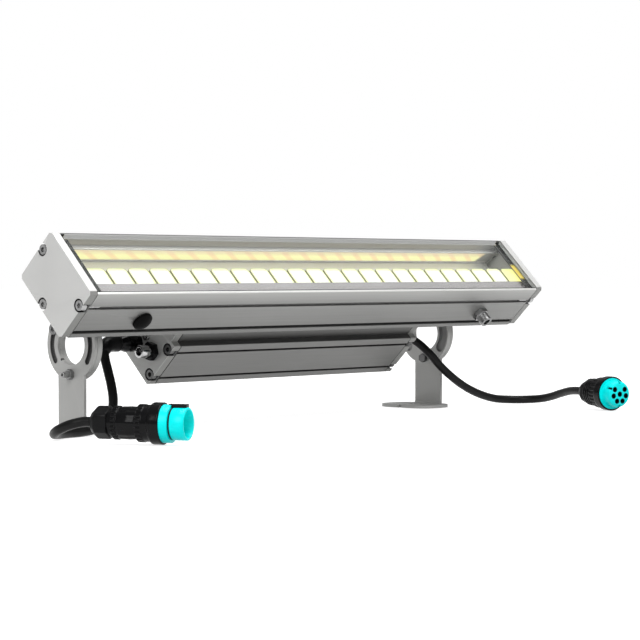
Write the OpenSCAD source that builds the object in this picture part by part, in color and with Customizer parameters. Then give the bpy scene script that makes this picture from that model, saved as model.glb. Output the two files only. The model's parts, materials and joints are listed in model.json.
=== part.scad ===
// Outdoor wall washer: a glazed light bar over a driver box, tilting on two ring brackets.
// X runs along the bar, the lit face looks to the front (-Y) and up, and the feet stand on Z = 0.

/* [Pose] */
// Tilt of the glass from facing straight up towards the front, in degrees
tilt = 45.5; // [10:0.5:80]
// Height of the tilt axis over the floor
axis_h = 73.3; // [60:0.1:110]
// Distance from the tilt axis to the back face of the light bar
bar_off = 46.9; // [44:0.1:60]

/* [Light bar] */
// Length over the end plates
bar_l = 600; // [560:10:1200]
// Width of the bar across the glass
bar_w = 70; // [66:0.5:90]
// Depth of the housing from its back face to the rim
bar_h = 51.5; // [50:0.5:70]
// Thickness of the long side walls
wall_t = 3.5; // [3:0.25:5]
// Thickness of the back wall
back_t = 4; // [3:0.25:5]
// Height of the inner deck over the back face
deck_h = 22; // [18:0.5:24]
// Thickness of the inner deck
deck_t = 3; // [2:0.25:4]
// Corner radius of the housing's section
bar_r = 1.5; // [0.5:0.25:3]
// Height of the side screw ports over the back face
port_h = 35; // [30:0.5:38]
// Depth of a screw port's centre under the side face
port_in = 3.5; // [3.25:0.25:5]
// Height of the back screw port over the back face
back_port_h = 3.75; // [3.25:0.25:5]
// Width of the open slot along each screw port
port_slot = 3.6; // [2:0.1:4.5]
// Height of the lower side groove over the back face
groove_h = 7; // [6:0.25:9]
// Width of the lower side groove
groove_w = 3.8; // [2:0.1:5]
// Depth of the lower side groove
groove_d = 2; // [1:0.25:2.5]

/* [End plates] */
// Thickness of the machined end plates
plate_t = 8; // [7:0.5:12]
// Height by which an end plate stands over the rim
plate_rise = 1.5; // [0:0.25:3]
// Bevel on the corners of an end plate
plate_bevel = 2.5; // [1:0.25:4]
// Thickness of the flat gaskets behind the end plates
gasket_t = 1; // [0.5:0.25:2]
// Inset of a gasket from the outline that it seals
gasket_in = 0.3; // [0.1:0.1:1]

/* [Glass] */
// Thickness of the front glass
glass_t = 4; // [3:0.5:6]
// Width of the rim's lip beside the glass seal
lip_t = 2; // [1.5:0.25:3]
// Thickness of the glass seal under and beside the glass
seal_t = 0.9; // [0.5:0.1:1.5]
// Width of the ledge that the glass lies on
seat_w = 1.5; // [1:0.25:4]
// Thickness of that ledge
seat_t = 2; // [1.5:0.25:3]
// Width of the seal's black strip at each end of the glass
seal_end = 5; // [3:0.5:10]

/* [Light engine] */
// Pitch of the lenses along the bar, of which the housing holds as many as fit
lens_pitch = 23.9; // [20:0.1:24]
// Gap between neighbouring lenses
lens_gap = 1.3; // [0.5:0.1:3]
// Width of a lens across the bar
lens_w = 17.5; // [14:0.5:18]
// Height of the lenses' upper face over the back face
lens_top = 45; // [43:0.25:45.5]
// Height of a lens over its carrier strip
lens_rise = 7.5; // [5:0.5:8]
// Thickness of the carrier strip
lens_base = 1.5; // [1:0.25:2]
// Corner radius on a lens's back edge
lens_r = 4.5; // [2:0.5:8]
// Distance of the lens row's centre line in front of the bar's centre
row_front = 9; // [7:0.1:12.5]
// Offset of the row along the bar that clears the cable feed at the left end
row_shift = 3.5; // [0:0.5:3.5]
// Width of the light-emitting chips
chip_w = 3.5; // [2:0.5:5]
// Height of a chip
chip_t = 0.7; // [0.5:0.1:1]
// Thickness of the metal-cored circuit board
board_t = 1.6; // [1:0.1:2]
// Sheet thickness of the aluminium rail under the board
rail_t = 2; // [1.5:0.25:2.5]
// Thickness of the leaning side reflector
mirror_t = 1; // [0.8:0.1:1.5]
// Height of that reflector's upper edge over the back face
mirror_top = 41.5; // [39:0.5:43]

/* [Driver box] */
// Length over the driver box's end plates
box_l = 324; // [280:2:340]
// Width of the driver box
box_w = 69; // [64:0.5:72]
// Depth of the driver box
box_h = 48; // [46:0.5:56]
// Width of the neck between the box and the bar
neck_w = 56; // [50:0.5:58]
// Height of the neck
neck_h = 15.5; // [14:0.5:20]
// Wall thickness of the driver box
box_wall = 3; // [2.5:0.25:4]
// Depth of the box's screw ports under the side face
box_port_in = 4.7; // [4:0.1:5.5]
// Distance of the screw ports from the box's upper and lower face
box_port_edge = 8.2; // [6:0.1:10]
// Width of the open slot along the box's screw ports
box_slot = 2.6; // [2:0.1:4]
// Length of the potted driver
driver_l = 260; // [200:5:264]
// Height of the potted driver
driver_h = 36; // [24:1:36]

/* [Swivel] */
// Outer radius of the bracket rings and of the swivel discs
ring_r = 30.6; // [29:0.2:34]
// Radius of the open centre of the rings
ring_hole_r = 17.1; // [15:0.1:18]
// Thickness of a swivel disc
disc_t = 5.3; // [4:0.1:8]
// Gap between a swivel disc and its bracket
swivel_gap = 0.2; // [0.1:0.05:0.5]
// Width of the arm from the disc to the bar
arm_w = 28; // [24:1:30]
// Length of the arm's flange along the bar
flange_l = 32; // [24:1:36]
// Thickness of the arm's flange
flange_t = 4; // [3:0.5:6]
// Radius of the circle on which the slots and bolts lie
bolt_circle = 24.3; // [23.6:0.1:25]
// Width of the arc slots
slot_w = 5.4; // [5.3:0.05:6]
// Angle by which the slots reach below the level of the axis
slot_low = 33.5; // [20:0.5:40]
// Rise of the two slot bolts over the level of the axis at rest
bolt_rise = 33; // [25:1:33]
// Largest tilt away from rest, either way
tilt_range = 45; // [10:1:45]
// Width of the nut pockets in a disc
pocket_w = 9.6; // [9.4:0.1:10]
// Depth of the nut pockets in a disc
pocket_d = 2.5; // [1.5:0.25:3]

/* [Brackets] */
// Distance from the middle of the bar to a bracket's outer face
bracket_x = 238.1; // [210:0.1:240]
// Sheet thickness of the brackets
leg_t = 3; // [2.5:0.25:4]
// Width of a leg
leg_w = 32.8; // [28:0.2:36]
// Inner radius of the bend at the foot
bend_r = 2; // [1:0.25:3]
// Reach of the foot plate along the bar
foot_l = 46.4; // [44:0.2:60]
// Width of the foot plate
foot_w = 66; // [60:1:80]
// Corner radius of the foot plate
foot_r = 18; // [8:1:20]
// Distance between the two fixing holes
hole_pitch = 424; // [410:1:428]
// Diameter of the fixing holes
hole_d = 9; // [6:0.5:11]
// Width of the aligning notch in the foot's inner edge
notch_w = 4; // [2:0.5:6]
// Depth of that notch
notch_d = 3; // [1:0.5:5]
// Distance of the locking screw below the tilt axis
lock_r = 24.8; // [24:0.1:25.6]

/* [Fasteners] */
// Thread diameter of the screws
screw_d = 5; // [4:0.5:5]
// Diameter of a cylinder screw's head
head_d = 8.5; // [7:0.5:9]
// Height of a cylinder screw's head
head_h = 5; // [3:0.5:5]
// Diameter of the counterbores in the end plates
cbore_d = 11; // [9:0.5:12]
// Depth of the counterbores
cbore_depth = 5.5; // [3:0.5:6]
// Reach of the end screws behind the end plate
screw_reach = 12; // [6:1:20]
// Key width of the hexagon nuts
nut_af = 8; // [7:0.5:8]
// Height of the hexagon nuts
nut_h = 4; // [3:0.5:5]
// Diameter of the flat button heads
button_d = 9.5; // [8:0.5:10]
// Height of the flat button heads
button_h = 2.7; // [2:0.1:3]
// Key width of the sockets in the screw heads
key_af = 4; // [2.5:0.5:4]
// Key width of the socket in the locking screws
lock_key_af = 2.5; // [2:0.5:3]
// Reach of the locking screws in front of the brackets
lock_reach = 10; // [6:0.5:14]
// Radial clearance of screws and stems in their holes
fit = 0.05; // [0.02:0.01:0.1]

/* [Fittings] */
// Distance of the vent plug from the middle of the bar
vent_x = 223.2; // [180:0.2:260]
// Height of the vent plug and the valve over the back face
vent_h = 19.5; // [14:0.5:24]
// Diameter of the vent plug
vent_d = 17.5; // [12:0.5:20]
// Height of the vent plug over the wall
vent_rise = 6; // [3:0.5:8]
// Distance of the chromed valve from the middle of the bar
valve_x = 227.8; // [180:0.2:260]
// Key width of the valve's hexagon
valve_af = 13.5; // [12:0.5:16]
// Height of the valve's hexagon
valve_hex_h = 4.5; // [3:0.5:8]
// Diameter of the valve's tube
valve_d = 11.5; // [8:0.5:12]
// Reach of the valve's tube in front of the wall
valve_l = 13; // [8:0.5:20]
// Bore of the valve and of the test port
valve_bore = 7; // [4:0.5:8]
// Radius of the stems that pass the walls
stem_r = 4; // [3:0.25:4.5]
// Diameter of a cable gland
gland_d = 15.5; // [14:0.5:18]
// Length of a cable gland
gland_l = 23; // [16:0.5:30]
// Reach of a gland's hexagon
gland_hex_h = 5; // [3:0.5:8]
// Distance of the test port in front of the tilt axis
test_front = 18.2; // [16:0.2:20]
// Height of the test port over the tilt axis
test_up = 8.8; // [6:0.2:10]
// Diameter of the test port
test_d = 11; // [9:0.5:12]
// Reach of the test port
test_l = 16; // [10:0.5:24]
// Key width of the test port's nut
test_af = 14.6; // [13:0.2:16]
// Height of the test port's nut
test_nut_h = 5; // [3:0.5:8]
// Distance of the earth screw in front of the tilt axis
earth_front = 4.5; // [3:0.5:6]
// Height of the earth screw over the tilt axis
earth_up = 12.4; // [12:0.2:14]

/* [Cords and plugs] */
// Diameter of the two cables
cord_d = 8; // [6:0.5:9]
// Height of the plugs' axes over the floor
plug_z = 17; // [16.5:0.1:20]
// Heading of the left plug, from the front towards the right
left_turn = 25.3; // [15:0.1:35]
// Heading of the right plug, from the front towards the right
right_turn = -19.7; // [-30:0.1:-10]
// Length of the male plug from its nut to its mouth
male_l = 80; // [76:0.5:100]
// Outer radius of the plugs' coupling rings
ring_out = 16.6; // [16:0.1:17.5]
// Radius of the plugs' bodies
shell_r = 13.4; // [12:0.1:14]
// Radius of the plugs' clamping nuts over the corners
clamp_r = 13.6; // [12:0.1:14]
// Outer radius of the male plug's cup
cup_r = 12.9; // [12:0.1:13.5]
// Wall of that cup
cup_wall = 2; // [1.5:0.1:3]
// Depth of that cup
cup_depth = 18; // [12:0.5:20]
// Length of the female plug's body up to its coupling ring's mouth
female_l = 45.5; // [42:0.5:70]
// Reach of the female insert in front of that mouth
insert_l = 12.5; // [10:0.5:20]
// Radius of the female insert's face
insert_r = 12.6; // [11:0.1:13]
// Radius of the circle of contacts
contact_circle = 7.35; // [6:0.05:8]
// Radius of a contact chamber
contact_r = 2.3; // [1.5:0.1:2.6]

/* [Hidden] */

// Segments of a true round; the tools that read this file take them as exact circles.
$fn = 64;
// Overrun of every cut past the face that it opens
over = 1;
screw_r = screw_d / 2;
hole_r = screw_r + fit;

// Light bar: spans and levels, counted from the back face
housing_l = bar_l - 2 * plate_t - 2 * gasket_t;
cavity_w = bar_w - 2 * wall_t;
boss_wall = 1.4;
boss_r = hole_r + boss_wall;
port_y = bar_w / 2 - port_in;
glass_w = bar_w - 2 * lip_t - 2 * seal_t;
glass_low = bar_h - glass_t;
seat_top = glass_low - seal_t;
mouth_w = bar_w - 2 * lip_t - 2 * seal_t - 2 * seat_w;

// Light engine: levels, counted from the back face
lens_low = lens_top - lens_rise - lens_base;
lens_air = 0.3;
shoulder_drop = 1;
board_top = lens_low - chip_t - lens_air;
board_low = board_top - board_t;
row_back_y = -row_front + lens_w / 2;
row_front_y = -row_front - lens_w / 2;
board_w = lens_w - 2 * rail_t;
rail_gap = 0.3;
rail_l = housing_l - 2 * rail_gap;
lens_count = floor((rail_l - 2 * row_shift) / lens_pitch);
board_l = lens_count * lens_pitch;
shoulder_h = port_h + boss_r + rail_gap;
row_x0 = row_shift - (lens_count - 1) * lens_pitch / 2;

// Driver box: levels, counted from the tilt axis
box_top = bar_off - neck_h;
box_low = box_top - box_h;
box_housing_l = box_l - 2 * plate_t - 2 * gasket_t;
box_port_y = box_w / 2 - box_port_in;
box_ports = [box_top - box_port_edge, box_low + box_port_edge];
neck_floor = box_top + box_wall;
neck_roof = bar_off - box_wall;
driver_w = 2 * (box_port_y - boss_r - rail_gap);
link_x_share = 0.4;
link_y_share = 0.3;
feed_y_share = 0.3;
feed_y = feed_y_share * neck_w;
feed_r = 7;
feed_bore_r = 4;
feed_rim_r = 9;
feed_rim_t = 1.5;

// Fittings: stems inside the plates, the earth screw, and the lip round a gland's mouth
gland_stem_r = 6;
gland_lip = 1;
gland_end = box_l / 2 + gland_l;
earth_r = 2;
earth_l = 6;
earth_head_r = 3.4;
earth_head_h = 2;
vent_rim_share = 0.35;
gland_taper_share = 0.45;

// Swivel: a bolt's clear angle in its slot, and where the slots end
slot_play = 2;
slot_high = bolt_rise + tilt_range + slot_play;
disc_out_x = bracket_x - leg_t - swivel_gap;
disc_in_x = disc_out_x - disc_t;
pocket_low = slot_low;
pocket_reach = 32;
pocket_high = bolt_rise + pocket_reach;
slot_step_count = 24;
slot_end_step_count = 8;
arm_screw_share = 0.62;
arm_screw_side_share = 0.25;
head_gap = 0.2;
socket_depth_share = 0.6;

// Brackets: the fixing hole's place and the relief beside the bend
hole_x = hole_pitch / 2;
relief_w = 1;
bend_out = bend_r + leg_t;

// Plugs: unit directions of their axes, and the rear ends where the cables enter
left_plug_at = [-308, -107, plug_z];
right_plug_at = [306, -143, plug_z];
left_dir = [sin(left_turn), -cos(left_turn), 0];
right_dir = [sin(right_turn), -cos(right_turn), 0];
cord_r = cord_d / 2;
cord_gap = 0.3;
cord_sides = 10;
cord_start = gland_end + cord_gap;

// Plugs: lengths and places along their axes, counted from the rear end
clamp_l = 15;
clamp_taper = 5;
clamp_back_r = 8;
clamp_bevel = 0.5;
neck_l = 4;
neck_r = 11;
sleeve_wall = 2.6;
rib_count = 24;
rib_d = 1.6;
rib_top_share = 0.3;
rib_foot_share = 0.6;
male_knurl_l = 4;
male_ring_at = 39.5;
male_ring_knurl = 5.5;
male_ring_l = 22.5;
lip_l = 6;
flange_r = 15;
male_flange_l = 2.2;
male_groove_l = 2.4;
male_groove_d = 1;
female_taper = 9;
female_clamp_l = 14;
female_ring_at = 27;
sleeve_rib_w = 1;
sleeve_rib_h = 1;
sleeve_rib_pitch = 3;
ring_slack = 0.15;
key_w = 6;
key_h = 2.6;
key_l = 15;
pin_r = 1.2;
pin_l = 10;
contact_floor = 1;
slot_mark_w = 2.4;
insert_round_share = 0.25;
male_flange_at = male_ring_at + male_ring_l - lip_l + ring_slack;
male_cup_at = male_flange_at + lip_l + male_flange_l;
pole_count = 7;
pole_step = 360 / pole_count;

// Routes of the two cables: out of the glands along the tilt axis, down, along the floor,
// and up into the plugs. Points are in millimetres, chosen by hand.
left_route = [[-195, -0.5, 73], [-202.5, -3, 69.5], [-206.5, -7.5, 61.5], [-209, -14, 51],
    [-212.5, -22, 39.5], [-217.5, -30, 28], [-226.5, -38.5, 17.5], [-239, -45, 9.5], [-254, -48, 5.5],
    [-270, -50, 4.2], [-287, -52, 4.2], [-302, -57, 4.5], [-313, -66, 6], [-318.5, -78, 10],
    [-317, -90, 14.5]];
right_route = [[193, -0.5, 73], [200, -4, 70], [206, -9, 65.5], [210, -14, 60.5], [215, -21, 52],
    [223, -26, 41.5], [236, -29, 31], [252, -30, 22], [268, -31, 15], [285, -32, 9.5],
    [303, -34, 5.5], [319, -40, 4.2], [330, -52, 4.2], [334, -68, 5.5], [331, -84, 8.5],
    [325, -100, 12.5], [317, -118, 16]];

module tilted() {
    translate([0, 0, axis_h]) rotate([tilt, 0, 0]) children();
}

// The light bar's own frame: origin on its back face, over the tilt axis.
module on_bar() {
    tilted() translate([0, 0, bar_off]) children();
}

// A section drawn in Y and Z, run along X and centred on it.
module along_x(length) {
    rotate([90, 0, 90]) linear_extrude(length, center = true) children();
}

// The same section as a plate, from x0 towards +X.
module slab_x(x0, thickness) {
    translate([x0, 0, 0]) rotate([90, 0, 90]) linear_extrude(thickness) children();
}

// A round bar along X, from x0 towards +X.
module rod_x(x0, length, radius) {
    translate([x0, 0, 0]) rotate([0, 90, 0]) cylinder(r = radius, h = length);
}

// A hexagon along X, from x0 towards +X, with the key width given.
module hex_x(x0, length, key) {
    translate([x0, 0, 0]) rotate([0, 90, 0]) cylinder(d = key / cos(30), h = length, $fn = 6);
}

// Copies a left-hand piece to the side named: -1 left, +1 right.
module side(s) {
    if (s < 0) children();
    else mirror([1, 0, 0]) children();
}

// A rectangle centred on Y with round corners, standing on the level z0.
module soft_rect(width, height, radius, z0 = 0) {
    hull_w = width / 2 - radius;
    translate([-width / 2, z0 + radius]) square([width, height - 2 * radius]);
    translate([-hull_w, z0]) square([2 * hull_w, height]);
    for (y = [-hull_w, hull_w], z = [z0 + radius, z0 + height - radius]) translate([y, z]) circle(radius);
}

// A rectangle with four straight bevels.
module bevel_rect(width, height, bevel, z0 = 0) {
    a = width / 2;
    top = z0 + height;
    polygon([[-a + bevel, z0], [a - bevel, z0], [a, z0 + bevel], [a, top - bevel], [a - bevel, top],
        [-a + bevel, top], [-a, top - bevel], [-a, z0 + bevel]]);
}

// Section of the extruded light bar: walls, deck, screw ports, glass seat and side grooves.
module bar_section() {
    difference() {
        union() {
            difference() {
                soft_rect(bar_w, bar_h, bar_r);
                translate([-cavity_w / 2, deck_h]) square([cavity_w, bar_h]);
                translate([-cavity_w / 2, back_t]) square([cavity_w, deck_h - deck_t - back_t]);
            }
            for (s = [-1, 1]) {
                translate([s * port_y, port_h]) circle(boss_r);
                translate([s * (mouth_w / 2 + bar_w / 2) / 2, seat_top - seat_t / 2])
                    square([(bar_w - mouth_w) / 2 - bar_r, seat_t], center = true);
            }
            translate([0, back_port_h]) circle(boss_r);
        }
        translate([-bar_w / 2 + lip_t, seat_top]) square([bar_w - 2 * lip_t, bar_h]);
        for (s = [-1, 1]) {
            translate([s * port_y, port_h]) circle(hole_r);
            translate([s * (port_y + bar_w / 2) / 2, port_h])
                square([port_in + over, port_slot], center = true);
            translate([s * (bar_w / 2), groove_h]) square([2 * groove_d, groove_w], center = true);
            translate([s * (bar_w / 2 + boss_r), port_h]) square([2 * boss_r, 2 * boss_r], center = true);
        }
        translate([0, back_port_h]) circle(hole_r);
        square([port_slot, 2 * back_port_h], center = true);
    }
}

module bar_housing() color("silver") on_bar() difference() {
    along_x(housing_l) bar_section();
    // Fittings in the front wall
    for (x = [-vent_x, valve_x]) translate([x, -bar_w / 2 - over, vent_h]) rotate([-90, 0, 0])
        cylinder(r = stem_r + fit, h = wall_t + over);
    // Screws of the driver box and of the swivel arms in the back wall
    link_places() translate([0, 0, -over]) cylinder(r = hole_r, h = back_t + 2 * over);
    for (s = [-1, 1]) arm_screw_places(s) translate([0, 0, -over])
        cylinder(r = hole_r, h = back_t + 2 * over);
    translate([0, feed_y, -over]) cylinder(r = feed_r + fit, h = back_t + 2 * over);
}

module front_glass() color([0.8, 0.9, 0.9, 0.4]) on_bar()
    translate([0, 0, glass_low + glass_t / 2]) cube([housing_l - 2 * fit, glass_w, glass_t], center = true);

// Frame gasket: strips under the glass, broad black strips at its ends, and a line beside it.
module glass_seal() color("black") on_bar() {
    frame_w = bar_w - 2 * lip_t;
    difference() {
        translate([0, 0, seat_top + (bar_h - seat_top) / 2])
            cube([housing_l - 2 * fit, frame_w - 2 * fit, bar_h - seat_top], center = true);
        translate([0, 0, glass_low + glass_t]) cube([bar_l, glass_w, 2 * glass_t], center = true);
        translate([0, 0, seat_top]) cube([housing_l - 2 * seal_end, mouth_w, 2 * bar_h], center = true);
    }
}

// Folded and extruded rail: base on the deck, board seat, and a front shoulder over the screw port.
module rail_section() {
    base_front = -port_y + boss_r + rail_gap;
    shoulder_front = -cavity_w / 2 + rail_gap;
    shoulder_top = lens_top - shoulder_drop;
    post_front = row_front_y - rail_t;
    post_back = row_back_y + rail_t;
    translate([base_front, deck_h]) square([post_back - base_front, rail_t]);
    translate([row_back_y, deck_h]) square([rail_t, board_low - deck_h]);
    translate([post_front, board_low - rail_t]) square([post_back - post_front, rail_t]);
    translate([post_front, deck_h]) square([rail_t, shoulder_top - deck_h]);
    translate([shoulder_front, shoulder_top - rail_t])
        square([post_front + rail_t - shoulder_front, rail_t]);
    translate([shoulder_front, shoulder_h]) square([rail_t, shoulder_top - shoulder_h]);
}

module light_rail() color("lightgray") on_bar() along_x(rail_l) rail_section();

module led_board() color("white") on_bar()
    translate([row_shift, -row_front, board_low + board_t / 2])
        cube([board_l, board_w, board_t], center = true);

// Places of the lenses and chips along the bar.
module row_places() {
    for (i = [0:lens_count - 1]) translate([row_x0 + i * lens_pitch, -row_front, 0]) children();
}

module led_chips() color("gold") on_bar() row_places()
    translate([0, 0, board_top + chip_t / 2]) cube([chip_w, chip_w, chip_t], center = true);

// One lens cell seen from above: square at the front, with round corners at the back.
module lens_outline() {
    cell_l = lens_pitch - lens_gap;
    a = cell_l / 2;
    b = lens_w / 2;
    translate([-a, -b]) square([cell_l, lens_w - lens_r]);
    translate([-a + lens_r, -b]) square([cell_l - 2 * lens_r, lens_w]);
    for (x = [-a + lens_r, a - lens_r]) translate([x, b - lens_r]) circle(lens_r);
}

module lens_row() color("ivory") on_bar() {
    translate([row_shift, -row_front, lens_low + lens_base / 2])
        cube([board_l, lens_w, lens_base], center = true);
    row_places() translate([0, 0, lens_low + lens_base]) linear_extrude(lens_rise) lens_outline();
}

// Bright strip that leans from the deck's back corner onto the screw port.
module side_reflector() color("khaki") on_bar() along_x(rail_l) {
    foot_y = cavity_w / 2 - rail_gap;
    reach = [port_y - foot_y, port_h - deck_h];
    lean = asin((boss_r + fit) / norm(reach)) - atan(reach[0] / reach[1]);
    top_y = foot_y - (mirror_top - deck_h) * tan(lean);
    polygon([[foot_y - mirror_t, deck_h], [foot_y, deck_h], [top_y, mirror_top],
        [top_y - mirror_t, mirror_top]]);
}

// Three screws hold each end plate: two in the side ports, one in the back port.
module plate_screw_places() {
    for (s = [-1, 1]) translate([0, s * port_y, port_h]) children();
    translate([0, 0, back_port_h]) children();
}

// Left end plate in the bar's frame, with counterbores that break its edges.
module end_plate() {
    difference() {
        slab_x(-bar_l / 2, plate_t) bevel_rect(bar_w, bar_h + plate_rise, plate_bevel);
        plate_screw_places() {
            rod_x(-bar_l / 2 - over, plate_t + 2 * over, hole_r);
            rod_x(-bar_l / 2 - over, cbore_depth + over, cbore_d / 2);
        }
    }
}

module left_end_plate() color("gainsboro") on_bar() side(-1) end_plate();
module right_end_plate() color("gainsboro") on_bar() side(1) end_plate();

// Flat gasket behind an end plate, open between the screw ports from the deck up to the glass.
module end_gasket() {
    gasket_x = -bar_l / 2 + plate_t;
    window_w = 2 * (port_y - boss_r);
    difference() {
        slab_x(gasket_x, gasket_t)
            soft_rect(bar_w - 2 * gasket_in, bar_h - 2 * gasket_in, bar_r, gasket_in);
        slab_x(gasket_x - over, gasket_t + 2 * over)
            translate([-window_w / 2, deck_h]) square([window_w, seat_top - deck_h]);
        plate_screw_places() rod_x(gasket_x - over, gasket_t + 2 * over, hole_r);
    }
}

module left_end_gasket() color("black") on_bar() side(-1) end_gasket();
module right_end_gasket() color("black") on_bar() side(1) end_gasket();

// Socket head screw along +X: its head's outer face at x0 - head_h, its shank from x0.
module socket_screw(x0, shank) {
    difference() {
        union() {
            rod_x(x0 - head_h, head_h, head_d / 2);
            rod_x(x0 - head_h / 2, head_h / 2 + shank, screw_r);
        }
        hex_x(x0 - head_h - over, socket_depth_share * head_h + over, key_af);
    }
}

module bar_plate_screws() color("dimgray") on_bar() for (s = [-1, 1]) side(s) plate_screw_places()
    socket_screw(-bar_l / 2 + cbore_depth, plate_t - cbore_depth + gasket_t + screw_reach);

// A body turned about the front wall's normal, at x on the bar; its base lies on the wall.
module front_wall(x) {
    translate([x, -bar_w / 2, vent_h]) rotate([90, 0, 0]) children();
}

// Vent plug: a straight rim under a domed cap, and a stem through the wall.
module vent_plug() color("black") on_bar() front_wall(-vent_x) {
    rim_h = vent_rim_share * vent_rise;
    dome_h = vent_rise - rim_h;
    dome_r = (vent_d * vent_d / 4 + dome_h * dome_h) / (2 * dome_h);
    rotate_extrude() {
        square([vent_d / 2, rim_h]);
        intersection() {
            translate([0, vent_rise - dome_r]) circle(dome_r);
            square([vent_d / 2, vent_rise]);
        }
    }
    translate([0, 0, -wall_t]) cylinder(r = stem_r, h = wall_t);
}

module pressure_valve() color("whitesmoke") on_bar() front_wall(valve_x) {
    difference() {
        union() {
            cylinder(d = valve_af / cos(30), h = valve_hex_h, $fn = 6);
            cylinder(d = valve_d, h = valve_l);
            translate([0, 0, -wall_t]) cylinder(r = stem_r, h = wall_t + over);
        }
        translate([0, 0, valve_hex_h]) cylinder(d = valve_bore, h = valve_l);
    }
}

// Outline of the driver box with its neck, in the tilt axis's frame.
module box_outline() {
    soft_rect(box_w, box_h, bar_r, box_low);
    translate([-neck_w / 2, box_top - bar_r]) square([neck_w, neck_h + bar_r]);
}

module box_section() {
    difference() {
        box_outline();
        difference() {
            translate([-box_w / 2 + box_wall, box_low + box_wall])
                square([box_w - 2 * box_wall, box_h - 2 * box_wall]);
            for (s = [-1, 1], z = box_ports) translate([s * box_port_y, z]) circle(boss_r);
        }
        translate([-neck_w / 2 + box_wall, neck_floor])
            square([neck_w - 2 * box_wall, neck_roof - neck_floor]);
        for (s = [-1, 1], z = box_ports) translate([s * box_port_y, z]) {
            circle(hole_r);
            translate([s * (box_port_in + over) / 2, 0])
                square([box_port_in + over, box_slot], center = true);
        }
    }
}

// Four screws join the neck to the bar's back wall.
module link_places() {
    for (s = [-1, 1], t = [-1, 1])
        translate([s * link_x_share * box_l, t * link_y_share * neck_w, 0]) children();
}

module driver_housing() color("silver") tilted() difference() {
    along_x(box_housing_l) box_section();
    translate([0, 0, neck_roof - over]) link_places() cylinder(r = hole_r, h = box_wall + 2 * over);
    translate([0, feed_y, box_top - box_wall - over])
        cylinder(r = feed_r + fit, h = neck_h + box_wall + 2 * over);
}

module driver_module() color("slategray") tilted()
    translate([0, 0, box_low + box_wall + driver_h / 2])
        cube([driver_l, driver_w, driver_h], center = true);

// The driver box's left plate; the gland and, on the left, the test port and earth screw pass it.
module driver_plate(fittings) {
    difference() {
        slab_x(-box_l / 2, plate_t) box_outline();
        box_screw_places() {
            rod_x(-box_l / 2 - over, plate_t + 2 * over, hole_r);
            rod_x(-box_l / 2 - over, cbore_depth + over, cbore_d / 2);
        }
        rod_x(-box_l / 2 - over, plate_t + 2 * over, gland_stem_r + fit);
        if (fittings) {
            translate([0, -test_front, test_up])
                rod_x(-box_l / 2 - over, plate_t + 2 * over, test_d / 2 + fit);
            translate([0, -earth_front, earth_up])
                rod_x(-box_l / 2 - over, earth_l + over, earth_r + fit);
        }
    }
}

module box_screw_places() {
    for (s = [-1, 1], z = box_ports) translate([0, s * box_port_y, z]) children();
}

module left_driver_plate() color("gainsboro") tilted() side(-1) driver_plate(true);
module right_driver_plate() color("gainsboro") tilted() side(1) driver_plate(false);

module driver_gasket() {
    gasket_x = -box_l / 2 + plate_t;
    window_w = box_w - 4 * box_port_in - 2 * boss_r;
    difference() {
        slab_x(gasket_x, gasket_t)
            soft_rect(box_w - 2 * gasket_in, box_h - 2 * gasket_in, bar_r, box_low + gasket_in);
        slab_x(gasket_x - over, gasket_t + 2 * over)
            translate([-window_w / 2, box_low + box_wall]) square([window_w, box_h - 2 * box_wall]);
        box_screw_places() rod_x(gasket_x - over, gasket_t + 2 * over, hole_r);
    }
}

module left_driver_gasket() color("black") tilted() side(-1) driver_gasket();
module right_driver_gasket() color("black") tilted() side(1) driver_gasket();

module driver_plate_screws() color("dimgray") tilted() for (s = [-1, 1]) side(s) box_screw_places()
    socket_screw(-box_l / 2 + cbore_depth, plate_t - cbore_depth + gasket_t + screw_reach);

module link_screws() color("dimgray") tilted() translate([0, 0, neck_roof]) link_places() {
    translate([0, 0, -button_h]) cylinder(d = button_d, h = button_h);
    translate([0, 0, -over]) cylinder(r = screw_r, h = box_wall + back_t + over);
}

// Rubber bush that lines the cable passage from the driver box into the bar.
module feed_bush() color("black") tilted() translate([0, feed_y, 0]) difference() {
    union() {
        translate([0, 0, neck_roof]) cylinder(r = feed_r, h = box_wall + back_t + feed_rim_t);
        translate([0, 0, bar_off + back_t]) cylinder(r = feed_rim_r, h = feed_rim_t);
    }
    translate([0, 0, neck_roof - over]) cylinder(r = feed_bore_r, h = bar_h);
}

module earth_screw() color("silver") tilted() translate([0, -earth_front, earth_up]) difference() {
    union() {
        rod_x(-box_l / 2 - earth_head_h, earth_head_h, earth_head_r);
        rod_x(-box_l / 2 - over, earth_l + over, earth_r);
    }
    hex_x(-box_l / 2 - earth_head_h - over, earth_head_h / 2 + over, earth_r);
}

module test_port() color("whitesmoke") tilted() translate([0, -test_front, test_up]) difference() {
    rod_x(-box_l / 2 - test_l, test_l + plate_t, test_d / 2);
    rod_x(-box_l / 2 - test_l - over, test_l - test_nut_h + over, valve_bore / 2);
}

module test_port_nut() color("black") tilted() translate([0, -test_front, test_up]) difference() {
    hex_x(-box_l / 2 - test_nut_h, test_nut_h, test_af);
    rod_x(-box_l / 2 - test_nut_h - over, test_nut_h + 2 * over, test_d / 2 + fit);
}

// Cable gland on the tilt axis: hexagon, domed nut with a tapered mouth, and its stem.
module gland() {
    dome_l = gland_l - gland_hex_h;
    taper = gland_taper_share * dome_l;
    mouth_r = cord_r + gland_lip;
    hex_x(-box_l / 2 - gland_hex_h, gland_hex_h, gland_d * cos(30));
    translate([-box_l / 2 - gland_hex_h, 0, 0]) rotate([0, -90, 0]) rotate_extrude()
        polygon([[0, 0], [gland_d / 2, 0], [gland_d / 2, dome_l - taper], [mouth_r, dome_l], [0, dome_l]]);
    rod_x(-box_l / 2, plate_t, gland_stem_r);
}

module left_gland() color("black") tilted() side(-1) gland();
module right_gland() color("black") tilted() side(1) gland();

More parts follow.
